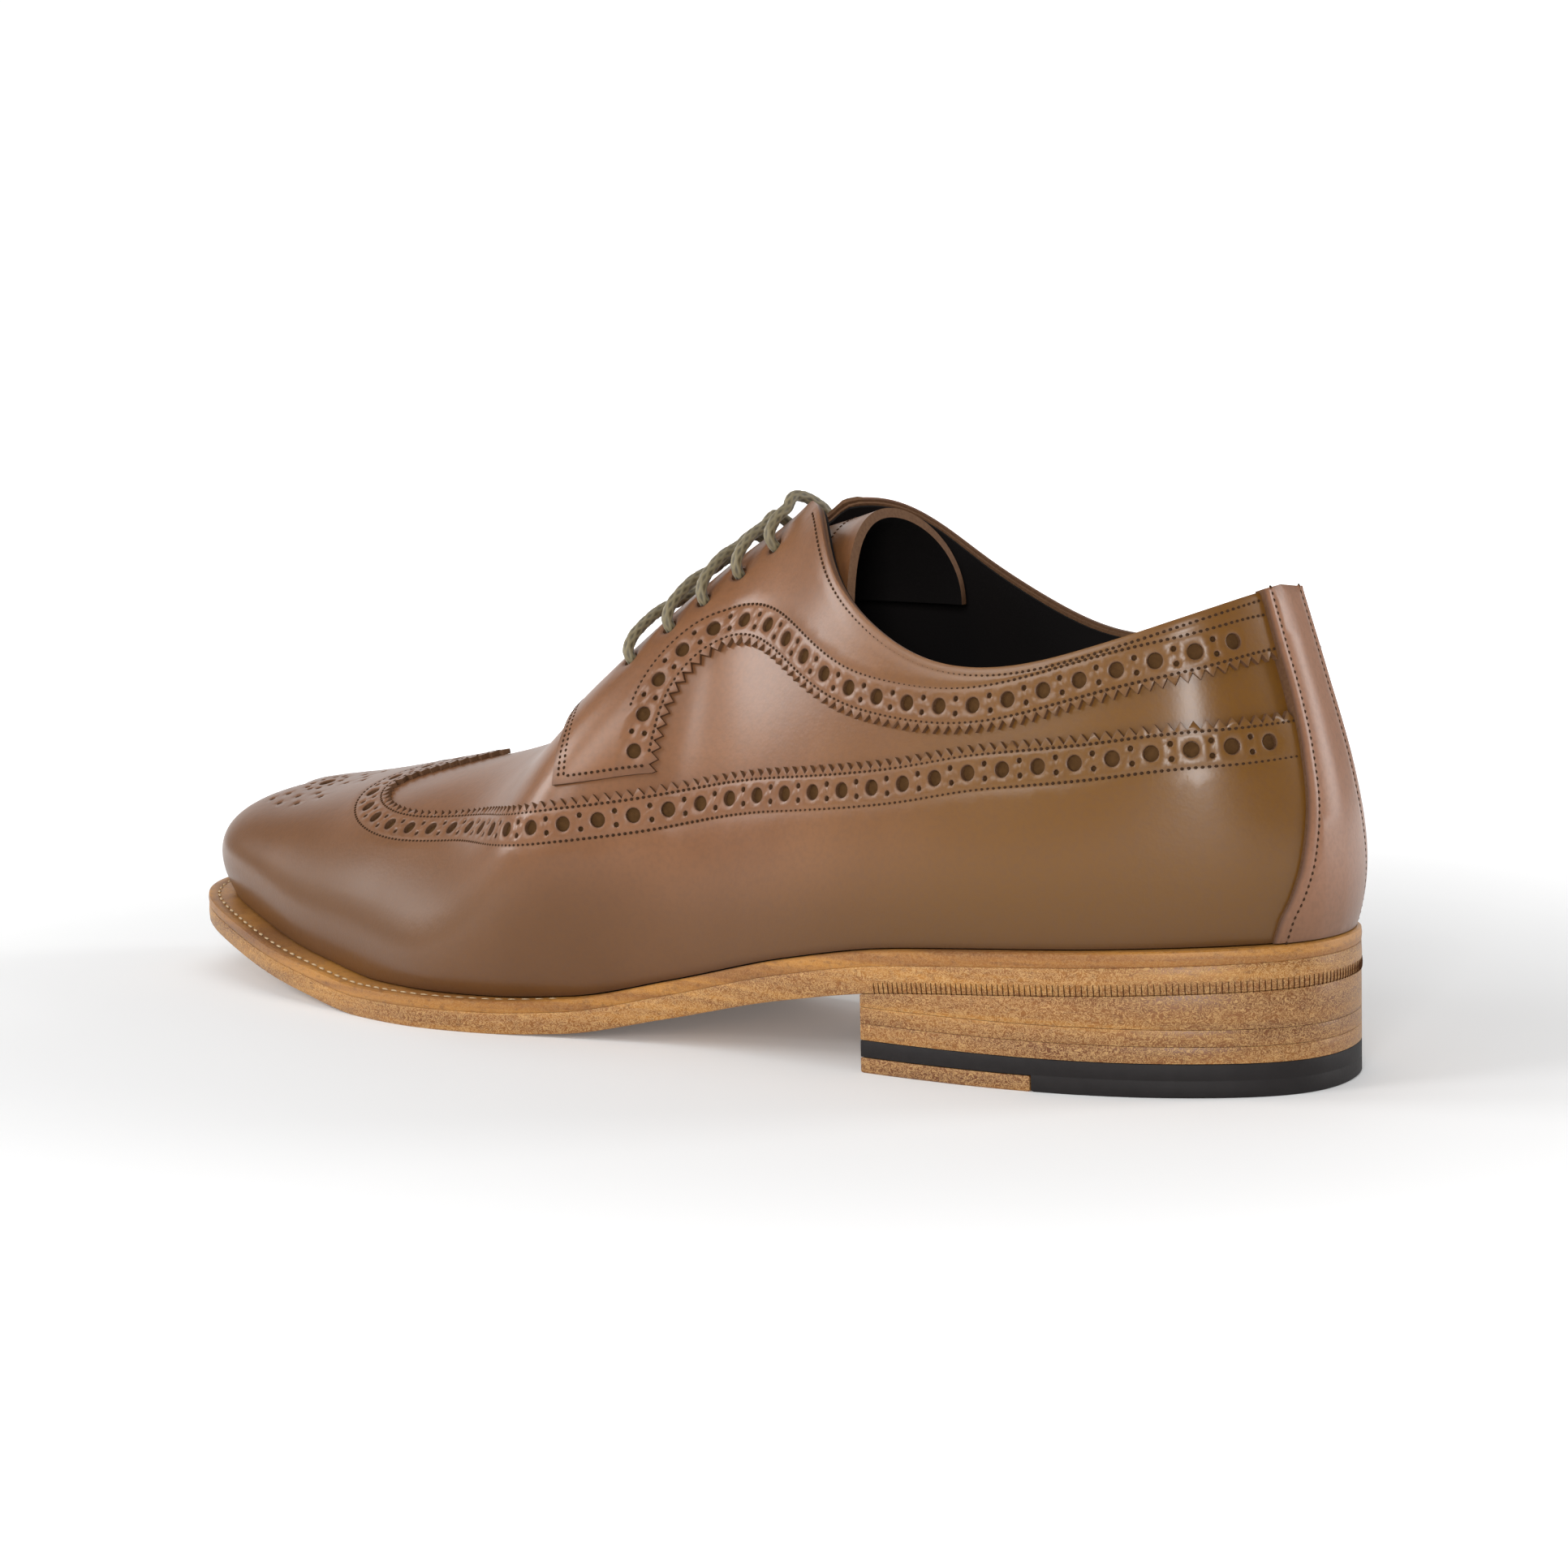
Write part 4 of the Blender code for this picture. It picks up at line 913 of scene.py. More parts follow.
def pathMesh(name, rows):
    # loose edges along rows of (points, outward directions)
    points, edges, out = [], [], []
    for p, n in rows:
        first = len(points)
        points += [tuple(v) for v in p]
        out += [tuple(v) for v in n]
        edges += [(first + i, first + i + 1) for i in range(len(p) - 1)]
    mesh = bpy.data.meshes.new(name)
    mesh.from_pydata(points, edges, [])
    layer = mesh.attributes.new("out", "FLOAT_VECTOR", "POINT")
    layer.data.foreach_set("vector", np.asarray(out, np.float32).ravel())
    item = bpy.data.objects.new(name, mesh)
    bpy.context.collection.objects.link(item)
    return item


def onForm(s, t, depth=0.0):
    n = ribNormal(s, t)
    return toWorld(rib(s, t) - n * depth), outwards(n)


rowTree, shadeDiscTree = stitchTree(), holeShadeTree()
print("trees ready")


# Broguing

brogue = {
    "pitch": 0.0078,       # big hole to big hole
    "big": 0.00158,        # hole radii
    "small": 0.00056,
    "spread": 0.00145,     # each small hole of a pair from the band's middle
    "bigSides": 16,
    "smallSides": 8,
    "tooth": 0.00250,
    "toothDepth": 0.00085,  # either way from the edge's mean line
    "toRow": 0.0013,       # mean line of the edge to the first stitch row
    "toHoles": 0.0046,
    "toSecond": 0.0081,
    "rowDip": 0.00014,
    "rowHalf": 0.00055,    # half the width of a stitch row's channel
    "smallRim": 0.00022,   # rolled rim round a small hole
    "cutDip": 0.00012,     # how far a cut edge's corner is worn down
    "collarDip": 0.00040,
    "eyelet": 0.0018,
    "eyeletRim": 0.0026,
    "collarRow": 0.0016,   # stitch rows from the collar, the hem and the front edge
    "frontRow": 0.0016,
    "secondFrontRow": 0.0030,
}
overlayDepth = 0.0012
lineStep = 0.0011          # between the points of a cut line
gridStep = 0.0019          # between the points inside a sheet
stripHeight = 0.900        # girth where the back strip ends
holeSpots = []


def ring(s, t, radius, sides):
    angle = 2 * np.pi * (np.arange(sides) + 0.5) / sides
    s, t = folded(s, t)
    first = unit(ribSlopes(s, t)[0])[0]
    second = np.cross(ribNormal(s, t)[0], first)
    move = first * np.cos(angle)[:, None] * radius + second * np.sin(angle)[:, None] * radius
    return surfaceStep(np.full(sides, s[0]), np.full(sides, t[0]), move)


def punch(cut, s, t, radius, sides, rim=0.00028):
    cut.line(*ring(s, t, radius, sides), dip=0.00016, edge=0.75, closed=True, bound=True)
    cut.line(*ring(s, t, radius + rim, sides), dip=0.0, edge=0.06, closed=True)
    holeSpots.append((float(np.ravel(s)[0]), float(np.ravel(t)[0]), radius))


def punchBand(cut, line, side, way, first, last):
    # big holes with pairs of small ones between them, in the band below (way 1) or above (way -1) the line
    band = line.beside(way * brogue["toHoles"])
    count = int(round((band.length - first - last) / brogue["pitch"]))
    stops = np.linspace(first, band.length - last, count + 1)
    for p, t in zip(*band.at(stops)):
        punch(cut, sided(p, side), t, brogue["big"], brogue["bigSides"])
    between = np.interp((stops[1:] + stops[:-1]) / 2, band.run, line.run[:len(band.run)])
    for offset in (-brogue["spread"], brogue["spread"]):
        for p, t in zip(*line.near(way * (brogue["toHoles"] + offset), between)):
            punch(cut, sided(p, side), t, brogue["small"], brogue["smallSides"], brogue["smallRim"])


def stitchChannel(cut, line, offset, side, start=0.0, end=None):
    # cuts a shallow channel under a stitch row and returns the row for its threads
    rows = []
    half = brogue["rowHalf"]
    for width, dip in ((offset, brogue["rowDip"]), (offset - half, 0), (offset + half, 0)):
        row = line.beside(width)
        row = row.part(start, row.length if end is None else min(end, row.length))
        p, t = row.every(lineStep)
        cut.line(sided(p, side), t, dip=dip, edge=0.22 if dip else 0.0)
        rows.append((p, t))
    p, t = rows[0]
    return onForm(sided(p, side), t, brogue["rowDip"])


def zigzag(line, end):
    count = int(round(end / brogue["tooth"]))
    stops = np.linspace(0.0, end, 2 * count + 1)
    tips, valleys = line.near(-brogue["toothDepth"], stops), line.near(brogue["toothDepth"], stops)
    odd = np.arange(len(stops)) % 2 == 1
    return np.where(odd, tips[0], valleys[0]), np.where(odd, tips[1], valleys[1])


def gridFill(cut, spacing, girths=(0.0, 1.0), places=(0.0, 2.0)):
    rows = int(0.095 / spacing)
    columns = int((places[1] - places[0]) * 0.36 / spacing)
    s, t = np.meshgrid(np.linspace(*places, columns, endpoint=False), np.linspace(*girths, rows + 1))
    cut.fill(s.ravel(), t.ravel(), spacing)


def wave(t, base):
    # the leather's faint unevenness over the last
    a, z = base[..., 0], base[..., 2]
    slow = np.sin(a * 61 + z * 23 + 1.3)
    slow = slow + 0.6 * np.sin(a * 97 - z * 71 + 0.4) + 0.5 * np.sin(z * 133 + a * 31)
    fade = np.clip(t / 0.12, 0, 1) * np.clip((1.02 - t) / 0.2, 0, 1)
    return 0.00010 * slow * fade


def stripPlace(girth, side):
    column = stripEdge["lateral" if side < 0 else "medial"]
    return steady(stripEdge["girth"], column, np.asarray(girth, float))


def footLine(count=400, girth=0.0):
    s = np.linspace(0, 2, count, endpoint=False)
    return s, np.full(count, girth)


threads = []


def buildWing():
    cut = Cut()
    cut.line(*footLine(), closed=True, bound=True, edge=0.5)
    cut.line(*footLine(girth=0.02), closed=True, edge=0.1)
    line = Line(wingEdge["place"], wingEdge["girth"])
    p, t = zigzag(line, line.length)
    t[-1] = 1.0
    s = np.concatenate([p, 2 - p[-2:0:-1]])
    t = np.concatenate([t, t[-2:0:-1]])
    cut.line(s, t, dip=brogue["cutDip"], edge=0.45, closed=True, bound=True)
    for side in (-1, 1):
        threads.append(stitchChannel(cut, line, brogue["toRow"], side))
        threads.append(stitchChannel(cut, line, brogue["toSecond"], side))
        punchBand(cut, line, side, 1, 0.012, 0.0045)
    medallion(cut)
    gridFill(cut, gridStep, (0.03, 1.0))
    return cutSheet("wing", cut, 0.0, overlayDepth + 0.00003, [finishes["wing"], finishes["cut"]], wave)


# The toe's medallion: one big hole in a ring of dots, then arms of dots, in mm along and across the ridge
rosette = {
    "place": 0.893,
    "girth": 0.955,
    "centre": 0.0019,
    "inner": (4.6, 10),
    "dots": ((10.5, 0.0), (13.5, 2.6), (13.5, -2.6), (17.0, 0.0), (16.2, 5.6), (16.2, -5.6), (20.5, 2.4),
             (20.5, -2.4), (-9.5, 3.2), (-9.5, -3.2), (-12.8, 0.0), (-15.5, 3.4), (-15.5, -3.4), (6.5, 6.5),
             (6.5, -6.5), (9.8, 8.8), (9.8, -8.8), (1.0, 9.0), (1.0, -9.0), (4.5, 12.0), (4.5, -12.0),
             (-5.2, 8.4), (-5.2, -8.4), (-8.6, 11.2), (-8.6, -11.2), (-2.6, 13.4), (-2.6, -13.4)),
}


def medallion(cut):
    middle = rib(rosette["place"], rosette["girth"])
    axis = unit(rib(rosette["place"] + 0.02, 1.0) - rib(rosette["place"] - 0.02, 1.0))
    n = ribNormal(rosette["place"], rosette["girth"])[0]
    across = unit(np.cross(axis, n))
    punch(cut, *spotNear(middle, 0 * axis), rosette["centre"], brogue["bigSides"])
    radius, count = rosette["inner"]
    angles = np.arange(count) * 2 * math.pi / count
    spots = [(radius * math.cos(a), radius * math.sin(a)) for a in angles]
    for along, aside in spots + list(rosette["dots"]):
        s, t = spotNear(middle, axis * along * 0.001 + across * aside * 0.001)
        punch(cut, s, t, brogue["small"] * 1.15, brogue["smallSides"], brogue["smallRim"])


def spotNear(middle, move):
    # walks over the form from the medallion's middle, keeping to the side that the move points to
    s, t = np.array([rosette["place"]]), np.array([0.999])
    target = (middle + move)[None]
    if target[0, 1] > rib(rosette["place"], 1.0)[1]:
        s = 2 - s
    for _ in range(12):
        gap = target - rib(s, t)
        s, t = surfaceStep(s, t, gap * 0.8)
        t = np.clip(t, 0.3, 1.0)
    return s, t


def facingLines(side):
    name = "lateral" if side < 0 else "medial"
    p = np.linspace(throat["place"][0], throat["place"][-1], 120)
    slot = (p, girthAtGap(sided(p, side), steady(throat["place"], throat["gap"], p)))
    rows = topline[name].copy()
    rows[-1] = slot[1][0]
    front = facingFront["girth"].copy()
    front[-1] = slot[1][-1]
    return {
        "top": Line(topline["place"], rows), "slot": Line(*slot, dense=False),
        "front": Line(facingFront["place"], front), "hem": Line(facingHem["place"], facingHem["girth"]),
        "edge": Line(facingEdge["place"], facingEdge["girth"])}


def girthAtGap(s, gap):
    low, high = np.full(len(s), 0.5), np.ones(len(s))
    crown = rib(s, np.ones(len(s)))[:, 0] / soleLength
    middle = steady(ridge["station"], ridge["shift"], crown) * ballWidth
    for _ in range(24):
        mid = (low + high) / 2
        wide = np.abs(rib(s, mid)[:, 1] - middle) > gap
        low, high = np.where(wide, mid, low), np.where(wide, high, mid)
    return (low + high) / 2


pattern = {side: facingLines(side) for side in (-1, 1)}


def buildFacings():
    cut = Cut()
    for side in (-1, 1):
        lines = pattern[side]
        edge, top = lines["edge"], lines["top"]
        tip = zigzag(edge, edge.length - 0.0005)
        tip = (np.append(tip[0], lines["hem"].p[0]), np.append(tip[1], lines["hem"].t[0]))
        hem, front, slot, collar = (lines[name].every(lineStep) for name in ("hem", "front", "slot", "top"))
        chain = [tip, hem, front, (slot[0][::-1], slot[1][::-1])]
        p, t = (np.concatenate([c[k] for c in chain]) for k in (0, 1))
        cut.line(sided(p, side), t, dip=brogue["cutDip"], edge=0.45, bound=True)
        p, t = np.append(p[-1], collar[0][::-1]), np.append(t[-1], collar[1][::-1])
        cut.line(sided(p, side), t, dip=brogue["collarDip"], edge=0.12, bound=True)
        for line, offset, short in (
                (edge, -brogue["toRow"], 0.003), (edge, -brogue["toSecond"], 0.004),
                (top, brogue["collarRow"], 0.003)):
            threads.append(stitchChannel(cut, line, offset, side, 0.0, line.length - short))
        for place, girth in zip(eyelets["place"], eyelets["girth"]):
            s = sided(place, side)
            cut.line(*ring(s, girth, brogue["eyelet"], 14), dip=0.0003, edge=0.7, closed=True, bound=True)
            cut.line(*ring(s, girth, brogue["eyeletRim"], 14), dip=0.0, edge=0.1, closed=True)
        punchBand(cut, edge, side, -1, 0.014, 0.004)
    gridFill(cut, gridStep, (0.35, 1.0))
    return cutSheet("facings", cut, 0.0, overlayDepth + 0.00003, [finishes["facing"], finishes["cut"]], wave)


def buildBase():
    # vamp and quarters under the overlays, and the black lining inside them
    pieces = []
    for name, outer, inner, below, spacing, wall, uneven in (
            ("vamp", overlayDepth, 0.0021, 0.006, 0.0022, "cut", wave),
            ("lining", 0.0022, 0.0030, 0.012, 0.0034, "lining", None)):
        cut = Cut()
        cut.line(*footLine(260), closed=True, bound=True)
        ends = []
        for side in (-1, 1):
            p, t = pattern[side]["top"].every(0.0022)
            cut.line(sided(p, side), t - below, bound=True, dip=0.0003)
            p2, t2 = pattern[side]["slot"].every(0.0022)
            p2, t2 = np.append(p[-1], p2[1:]), np.append(t[-1] - below, t2[1:] - 0.008)
            cut.line(sided(p2, side), t2, bound=True, dip=0.0003)
            ends.append((sided(p2[-1], side), t2[-1]))
        (s1, t1), (s2, t2) = ends
        cut.line([s1, throat["place"][-1] + 0.006, s2], [t1, 1.0, t2], bound=True)
        gridFill(cut, spacing)
        pieces.append(cutSheet(name, cut, outer, inner, [finishes[name], finishes[wall]], uneven))
    return pieces


def buildStrip():
    cut = Cut()
    for side in (-1, 1):
        q = np.linspace(0.0, stripHeight, 90)
        inner = stripPlace(q, side)
        cut.line(sided(inner, side), q, dip=0.00035, edge=0.9, bound=True)
        cut.line(sided(inner - 0.0030, side), q, dip=0.0, edge=0.15)
        row = inner - 0.0085
        cut.line(sided(row, side), q, dip=0.00015, edge=0.3)
        cut.line(sided(row - 0.0016, side), q)
        cut.line(sided(row + 0.0016, side), q)
        threads.append(onForm(sided(row, side), q, -0.0012 + 0.00015))
    for girth, dip in ((stripHeight, 0.0004), (0.0, 0.0)):
        across = np.linspace(-stripPlace(girth, -1), stripPlace(girth, 1), 24)
        cut.line(np.mod(-across, 2), np.full(24, girth), dip=dip, edge=0.4, bound=True)
    q, w = np.meshgrid(np.linspace(0, stripHeight, 60), np.linspace(-0.04, 0.04, 40))
    cut.fill(np.mod(w.ravel(), 2), q.ravel(), 0.0017)
    return cutSheet("back_strip", cut, -0.0012, 0.0013, [finishes["strip"], finishes["cut"]], None)


print("cutting the upper")
upperPieces = [buildWing(), buildFacings(), *buildBase(), buildStrip()]


# Threads, and dark discs of painted shade in the punched holes

def rowOfThreads(name, rows, values):
    return grown(name, pathMesh(name + "_path", rows), rowTree, values)


def holeShadeDiscs():
    # dark discs of painted shade, just above the vamp seen through each hole
    s, t, radius = (np.array(c) for c in zip(*holeSpots))
    points, out = onForm(s, t)
    item = pathMesh("hole_points", [([p], [n]) for p, n in zip(points, out)])
    sizes = item.data.attributes.new("size", "FLOAT", "POINT").data
    sizes.foreach_set("value", radius.astype(np.float32) * 0.97)
    return grown("hole_shade_discs", item, shadeDiscTree, {"Sink": 0.00098, "Finish": finishes["hole"]})


upperThread = {
    "Pitch": 0.00130, "Length": 0.00082, "Width": 0.00068, "Height": 0.00042, "Sink": 0.0,
    "Finish": finishes["thread"]}
frontRows = []
for side in (-1, 1):
    for name, offset in (("hem", "frontRow"), ("front", "frontRow"), ("front", "secondFrontRow")):
        line = pattern[side][name].beside(-brogue[offset])
        p, t = line.every(0.0012, 0.002, line.length - 0.004)
        frontRows.append(onForm(sided(p, side), t, 0.00004))
upperThreads = rowOfThreads("upper_threads", threads + frontRows, upperThread)
holeShades = holeShadeDiscs()


# Tongue

tongue = {
    "gap": 0.0010, "thickness": 0.0020, "width": 0.042, "height": 0.021, "station": 0.336, "half": 0.47,
    "level": 0.965, "middle": -0.030, "lean": 0.005, "rows": 60, "columns": 45, "stitchRow": 10}


def tongueGrid():
    depth = 0.0030 + tongue["gap"]
    p = np.linspace(tongueRows["place"][0], tongueRows["place"][-1], tongue["rows"])
    order = np.argsort(tongueRows["place"])
    low = steady(tongueRows["place"][order], tongueRows["girth"][order], p)
    u = np.linspace(1, 0, tongue["columns"]) ** 0.8
    rows = []
    for place, girth in zip(p, low):
        t = 1 - (1 - girth) * u
        left = rib(np.full(len(u), place), t) - ribNormal(np.full(len(u), place), t) * depth
        right = rib(np.full(len(u), 2 - place), t) - ribNormal(np.full(len(u), 2 - place), t) * depth
        rows.append(np.concatenate([left, right[-2::-1]]))
    last = rows[-1]
    angle = np.linspace(-np.pi / 2, np.pi / 2, 2 * len(u) - 1)
    end = np.stack([
        tongue["station"] * soleLength + tongue["lean"] * np.cos(angle) ** 2,
        (np.sin(angle) * tongue["half"] + tongue["middle"]) * tongue["width"],
        seatLevel + tongue["level"] * form["upperHeight"] - tongue["height"] * (1 - np.cos(angle))], -1)
    for v in np.linspace(0, 1, 28)[1:]:
        rows.append(last * (1 - v) + end * v)
    return np.array(rows)


def buildTongue():
    grid = tongueGrid()
    n = unit(np.cross(np.gradient(grid, axis=0), np.gradient(grid, axis=1)))
    n *= np.sign(n[len(grid) // 2, grid.shape[1] // 2, 2])
    rows, columns = grid.shape[:2]
    faces, kinds = [], []
    top, under = toWorld(grid), toWorld(grid - n * tongue["thickness"])
    points = np.concatenate([top.reshape(-1, 3), under.reshape(-1, 3)])
    number = np.arange(rows * columns).reshape(rows, columns)
    low = number + rows * columns
    for i in range(rows - 1):
        for j in range(columns - 1):
            faces.append((number[i, j], number[i, j + 1], number[i + 1, j + 1], number[i + 1, j]))
            kinds.append(0)
            faces.append((low[i, j], low[i + 1, j], low[i + 1, j + 1], low[i, j + 1]))
            kinds.append(1)
    rim = [(number[i + 1, 0], number[i, 0]) for i in range(rows - 1)]
    rim += [(number[i, -1], number[i + 1, -1]) for i in range(rows - 1)]
    rim += [(number[0, j], number[0, j + 1]) for j in range(columns - 1)]
    rim += [(number[-1, j + 1], number[-1, j]) for j in range(columns - 1)]
    for a, b in rim:
        faces.append((b, a, a + rows * columns, b + rows * columns))
        kinds.append(2)
    edge = np.zeros((rows, columns))
    edge[-3:, :] = 0.25
    item = meshObject(
        "tongue_leather", points, faces, [finishes[key] for key in ("tongue", "lining", "cut")], kinds,
        {"edge": np.concatenate([edge.ravel(), np.zeros(rows * columns)])}, 60)
    outFaces(item)
    bevel = item.modifiers.new("edge", "BEVEL")
    bevel.width, bevel.segments = 0.0006, 2
    bevel.limit_method, bevel.angle_limit = "ANGLE", math.radians(50)
    back = tongue["stitchRow"]
    stitches = (toWorld(grid[-back][4:-4]), outwards(n[-back][4:-4]))
    return applied(item), stitches


def outFaces(item):
    work = bmesh.new()
    work.from_mesh(item.data)
    bmesh.ops.recalc_face_normals(work, faces=work.faces)
    work.to_mesh(item.data)
    work.free()


def applied(item):
    bpy.context.view_layer.update()
    mesh = bpy.data.meshes.new_from_object(item.evaluated_get(bpy.context.evaluated_depsgraph_get()))
    item.modifiers.clear()
    item.data = mesh
    return item


tonguePiece, tongueRow = buildTongue()
tongueThreads = rowOfThreads("tongue_threads", [tongueRow], upperThread)


# Laces

lace = {"radius": 0.00118, "sides": 20, "step": 0.00030, "strands": 5, "lay": 900.0, "relief": 0.00013}


def laceRoute(place, girth):
    steps = np.array([0.0, 0.02, 0.12, 0.30, 0.55, 0.80])
    rise = np.array([-0.0010, 0.0007, 0.0021, 0.0025, 0.0025, 0.0021])
    t = girth + (1 - girth) * steps
    near, far = (rib(s, t) + ribNormal(np.full(len(t), s), t) * rise[:, None] for s in (place, 2 - place))
    crown = rib(place, 1.0) + ribNormal(place, 0.999)[0] * 0.0027
    return toWorld(np.concatenate([near, [crown], far[::-1]]))


def buildLace(name, place, girth):
    route = laceRoute(place, girth)
    run = np.concatenate([[0], np.cumsum(np.linalg.norm(np.diff(route, axis=0), axis=1))])
    fine = np.linspace(0, run[-1], int(run[-1] / lace["step"]))
    points = np.stack([Curve(run, route[:, i])(fine) for i in range(3)], -1)
    along = unit(np.gradient(points, axis=0))
    first = unit(np.cross(along, (1.0, 0.0, 0.0)))
    second = np.cross(along, first)
    sides, count = lace["sides"], len(points)
    angle = 2 * np.pi * np.arange(sides) / sides
    turn = lace["strands"] * angle[None, :]
    walk = lace["lay"] * fine[:, None] * 2
    braid = np.maximum(np.cos(turn + walk), np.cos(turn - walk))
    radius = lace["radius"] + lace["relief"] * (braid - 0.6)
    cosine, sine = np.cos(angle)[None, :, None], np.sin(angle)[None, :, None]
    around = first[:, None] * cosine + second[:, None] * sine
    spots = (points[:, None] + radius[..., None] * around).reshape(-1, 3)
    faces = tubeFaces(count, sides)
    faces.append(tuple(range(sides - 1, -1, -1)))
    faces.append(tuple((count - 1) * sides + j for j in range(sides)))
    marks = {"braid": braid.ravel() * 0.5 + 0.5}
    item = meshObject(name, spots, faces, [finishes["lace"]], None, marks, None)
    outFaces(item)
    return item


laces = []
for place, girth in zip(eyelets["place"], eyelets["girth"]):
    laces.append(buildLace("lace_bar_%d" % (len(laces) + 1), place, girth))
print("upper done")


# Welt, sole and heel

sole = {"count": 460, "weltStart": 0.535, "stitchInset": 0.0024, "stitchPitch": 0.0032}
heel = {"rubber": 0.0066, "insert": 0.0031, "insertLength": 0.040, "lift": 0.0033}


def sweepLoop(name, profile, finish, count):
    # closed section carried round the sole's outline, where profile(s) gives its (inset, height) rows
    s = np.linspace(0, 2, count, endpoint=False)
    insets, heights = profile(s)
    rows = []
    for inset, height in zip(insets, heights):
        a, y, _, _ = soleEdge(s, inset)
        rows.append(toWorld(np.stack([a, y, height(a)], -1)))
    points, faces = np.array(rows).reshape(-1, 3), tubeFaces(len(rows), count, True)
    item = meshObject(name, points, faces, [finish], None, None, 40)
    outFaces(item)
    return item


def weltProfile(s):
    ledge = footInset(s)
    low = lambda a: outsoleTop(a) + 0.00003
    share = lambda u, dip=0.0: (lambda a: low(a) * (1 - u) + weltTop(a) * u - dip)
    groove = sole["stitchInset"]
    narrow = np.minimum(ledge * 0.75, groove)
    rim = 0 * s
    spots = [
        (rim + 0.00012, share(0.0)), (rim, share(0.06)), (rim - 0.00012, share(0.5)),
        (rim, share(0.86)), (rim + 0.00035, share(1.0, 0.0001)), (narrow * 0.7, share(1.0)),
        (narrow, share(1.0, 0.00028)), (narrow * 1.3, share(1.0)), (ledge, share(1.0)),
        (ledge + 0.0025, share(1.0)), (ledge + 0.0025, share(0.0))]
    return zip(*spots)


def slab(name, loop, low, high, finish, roundLow, roundHigh, bulge=0.0):
    # plate with softly rounded edges, where loop(inset) gives its outline
    spacing = 0.006
    profile = [(roundLow, 0, 0.0), (roundLow * 0.3, 0, roundLow * 0.5), (0, 0, roundLow), (-bulge, 0.5, 0),
               (0, 1, -roundHigh), (roundHigh * 0.3, 1, -roundHigh * 0.5), (roundHigh, 1, 0.0)]
    rings = []
    for inset, share, offset in profile:
        flat = loop(inset)
        z = low(flat[:, 0]) * (1 - share) + high(flat[:, 0]) * share + offset
        rings.append(np.column_stack([flat, z]))
    count = len(rings[0])
    faces = tubeFaces(len(rings), count)
    points = list(np.concatenate(rings))
    for ringIndex, height in ((0, low), (len(rings) - 1, high)):
        flat = rings[ringIndex][:, :2]
        (x0, y0), (x1, y1) = flat.min(0), flat.max(0)
        x, y = np.meshgrid(np.arange(x0, x1, spacing), np.arange(y0, y1, spacing))
        grid = np.stack([x.ravel(), y.ravel()], -1)
        grid = grid[insideLoop(flat, grid, spacing * 0.4)]
        edges = [(i, (i + 1) % count) for i in range(count)]
        flat = [tuple(p) for p in np.concatenate([flat, grid])]
        spots, _, tris, origin, _, _ = delaunay_2d_cdt(flat, edges, [], 1, 1e-8)
        number = {}
        for k, (spot, o) in enumerate(zip(spots, origin)):
            if o and o[0] < count:
                number[k] = ringIndex * count + o[0]
            else:
                number[k] = len(points)
                points.append(np.array([spot[0], spot[1], float(height(np.array([spot[0]]))[0])]))
        faces += [tuple(number[i] for i in tri) for tri in tris]
    item = meshObject(name, toWorld(np.array(points)), faces, [finish], None, None, 35)
    outFaces(item)
    return item


def insideLoop(loop, points, margin):
    x, y = points[:, :1], points[:, 1:]
    x0, y0, x1, y1 = loop[:, 0], loop[:, 1], np.roll(loop[:, 0], -1), np.roll(loop[:, 1], -1)
    crosses = (y0 > y) != (y1 > y)
    at = x0 + (y - y0) * (x1 - x0) / np.where(y1 == y0, 1e-12, y1 - y0)
    near = np.sqrt((x - x0) ** 2 + (y - y0) ** 2).min(1) > margin
    return ((np.count_nonzero(crosses & (x < at), axis=1) % 2) == 1) & near


def soleLoop(inset):
    s = np.linspace(0, 2, sole["count"], endpoint=False)
    a, y, _, _ = soleEdge(s, inset)
    return np.stack([a, y], -1)


def heelLoop(inset, back=None, front=form["heelLength"], count=90):
    # the sole's outline from the very back, or from back, to front
    s = np.linspace(0, 0.5, 500)
    sides = []
    for side in (-1, 1):
        a, y, _, _ = soleEdge(sided(s, side), inset)
        start = 0.0 if back is None else np.interp(back + inset, a, s)
        q = np.linspace(start, np.interp(front - inset, a, s), count)
        a, y, _, _ = soleEdge(sided(q, side), inset)
        sides.append(np.stack([a, y], -1))
    across = np.linspace(sides[0][-1], sides[1][-1], 16)[1:-1]
    if back is None:
        return np.concatenate([sides[0], across, sides[1][:0:-1]])
    rear = np.linspace(sides[1][0], sides[0][0], 16)[1:-1]
    return np.concatenate([sides[0], across, sides[1][::-1], rear])


def level(height):
    return lambda a: np.full(np.shape(a), height)


welt = sweepLoop("welt_leather", weltProfile, finishes["welt"], 600)
outsole = slab(
    "outsole_leather", soleLoop, undersideHeight, outsoleTop, finishes["outsole"], 0.00020, 0.00008, 0.0001)
gap = form["clearance"]
base = heel["rubber"]
lifts = []
for k in (1, 2, 3):
    low, top = level(base + gap * 0.2), level(base + heel["lift"])
    if k == 3:
        top = lambda a: undersideHeight(a) - gap * 0.2
    lifts.append(slab("lift_%d" % k, heelLoop, low, top, finishes["lift"], 0.00006, 0.00006))
    base += heel["lift"]
split = form["heelLength"] - heel["insertLength"]
topPiece = slab(
    "top_piece", heelLoop, level(heel["insert"] + gap * 0.5), level(heel["rubber"]), finishes["rubber"],
    0.00010, 0.00015)
rearPiece = slab(
    "top_piece_rear", lambda inset: heelLoop(inset, None, split, 70), level(0.0),
    level(heel["insert"] + gap), finishes["rubber"], 0.0004, 0.00002)
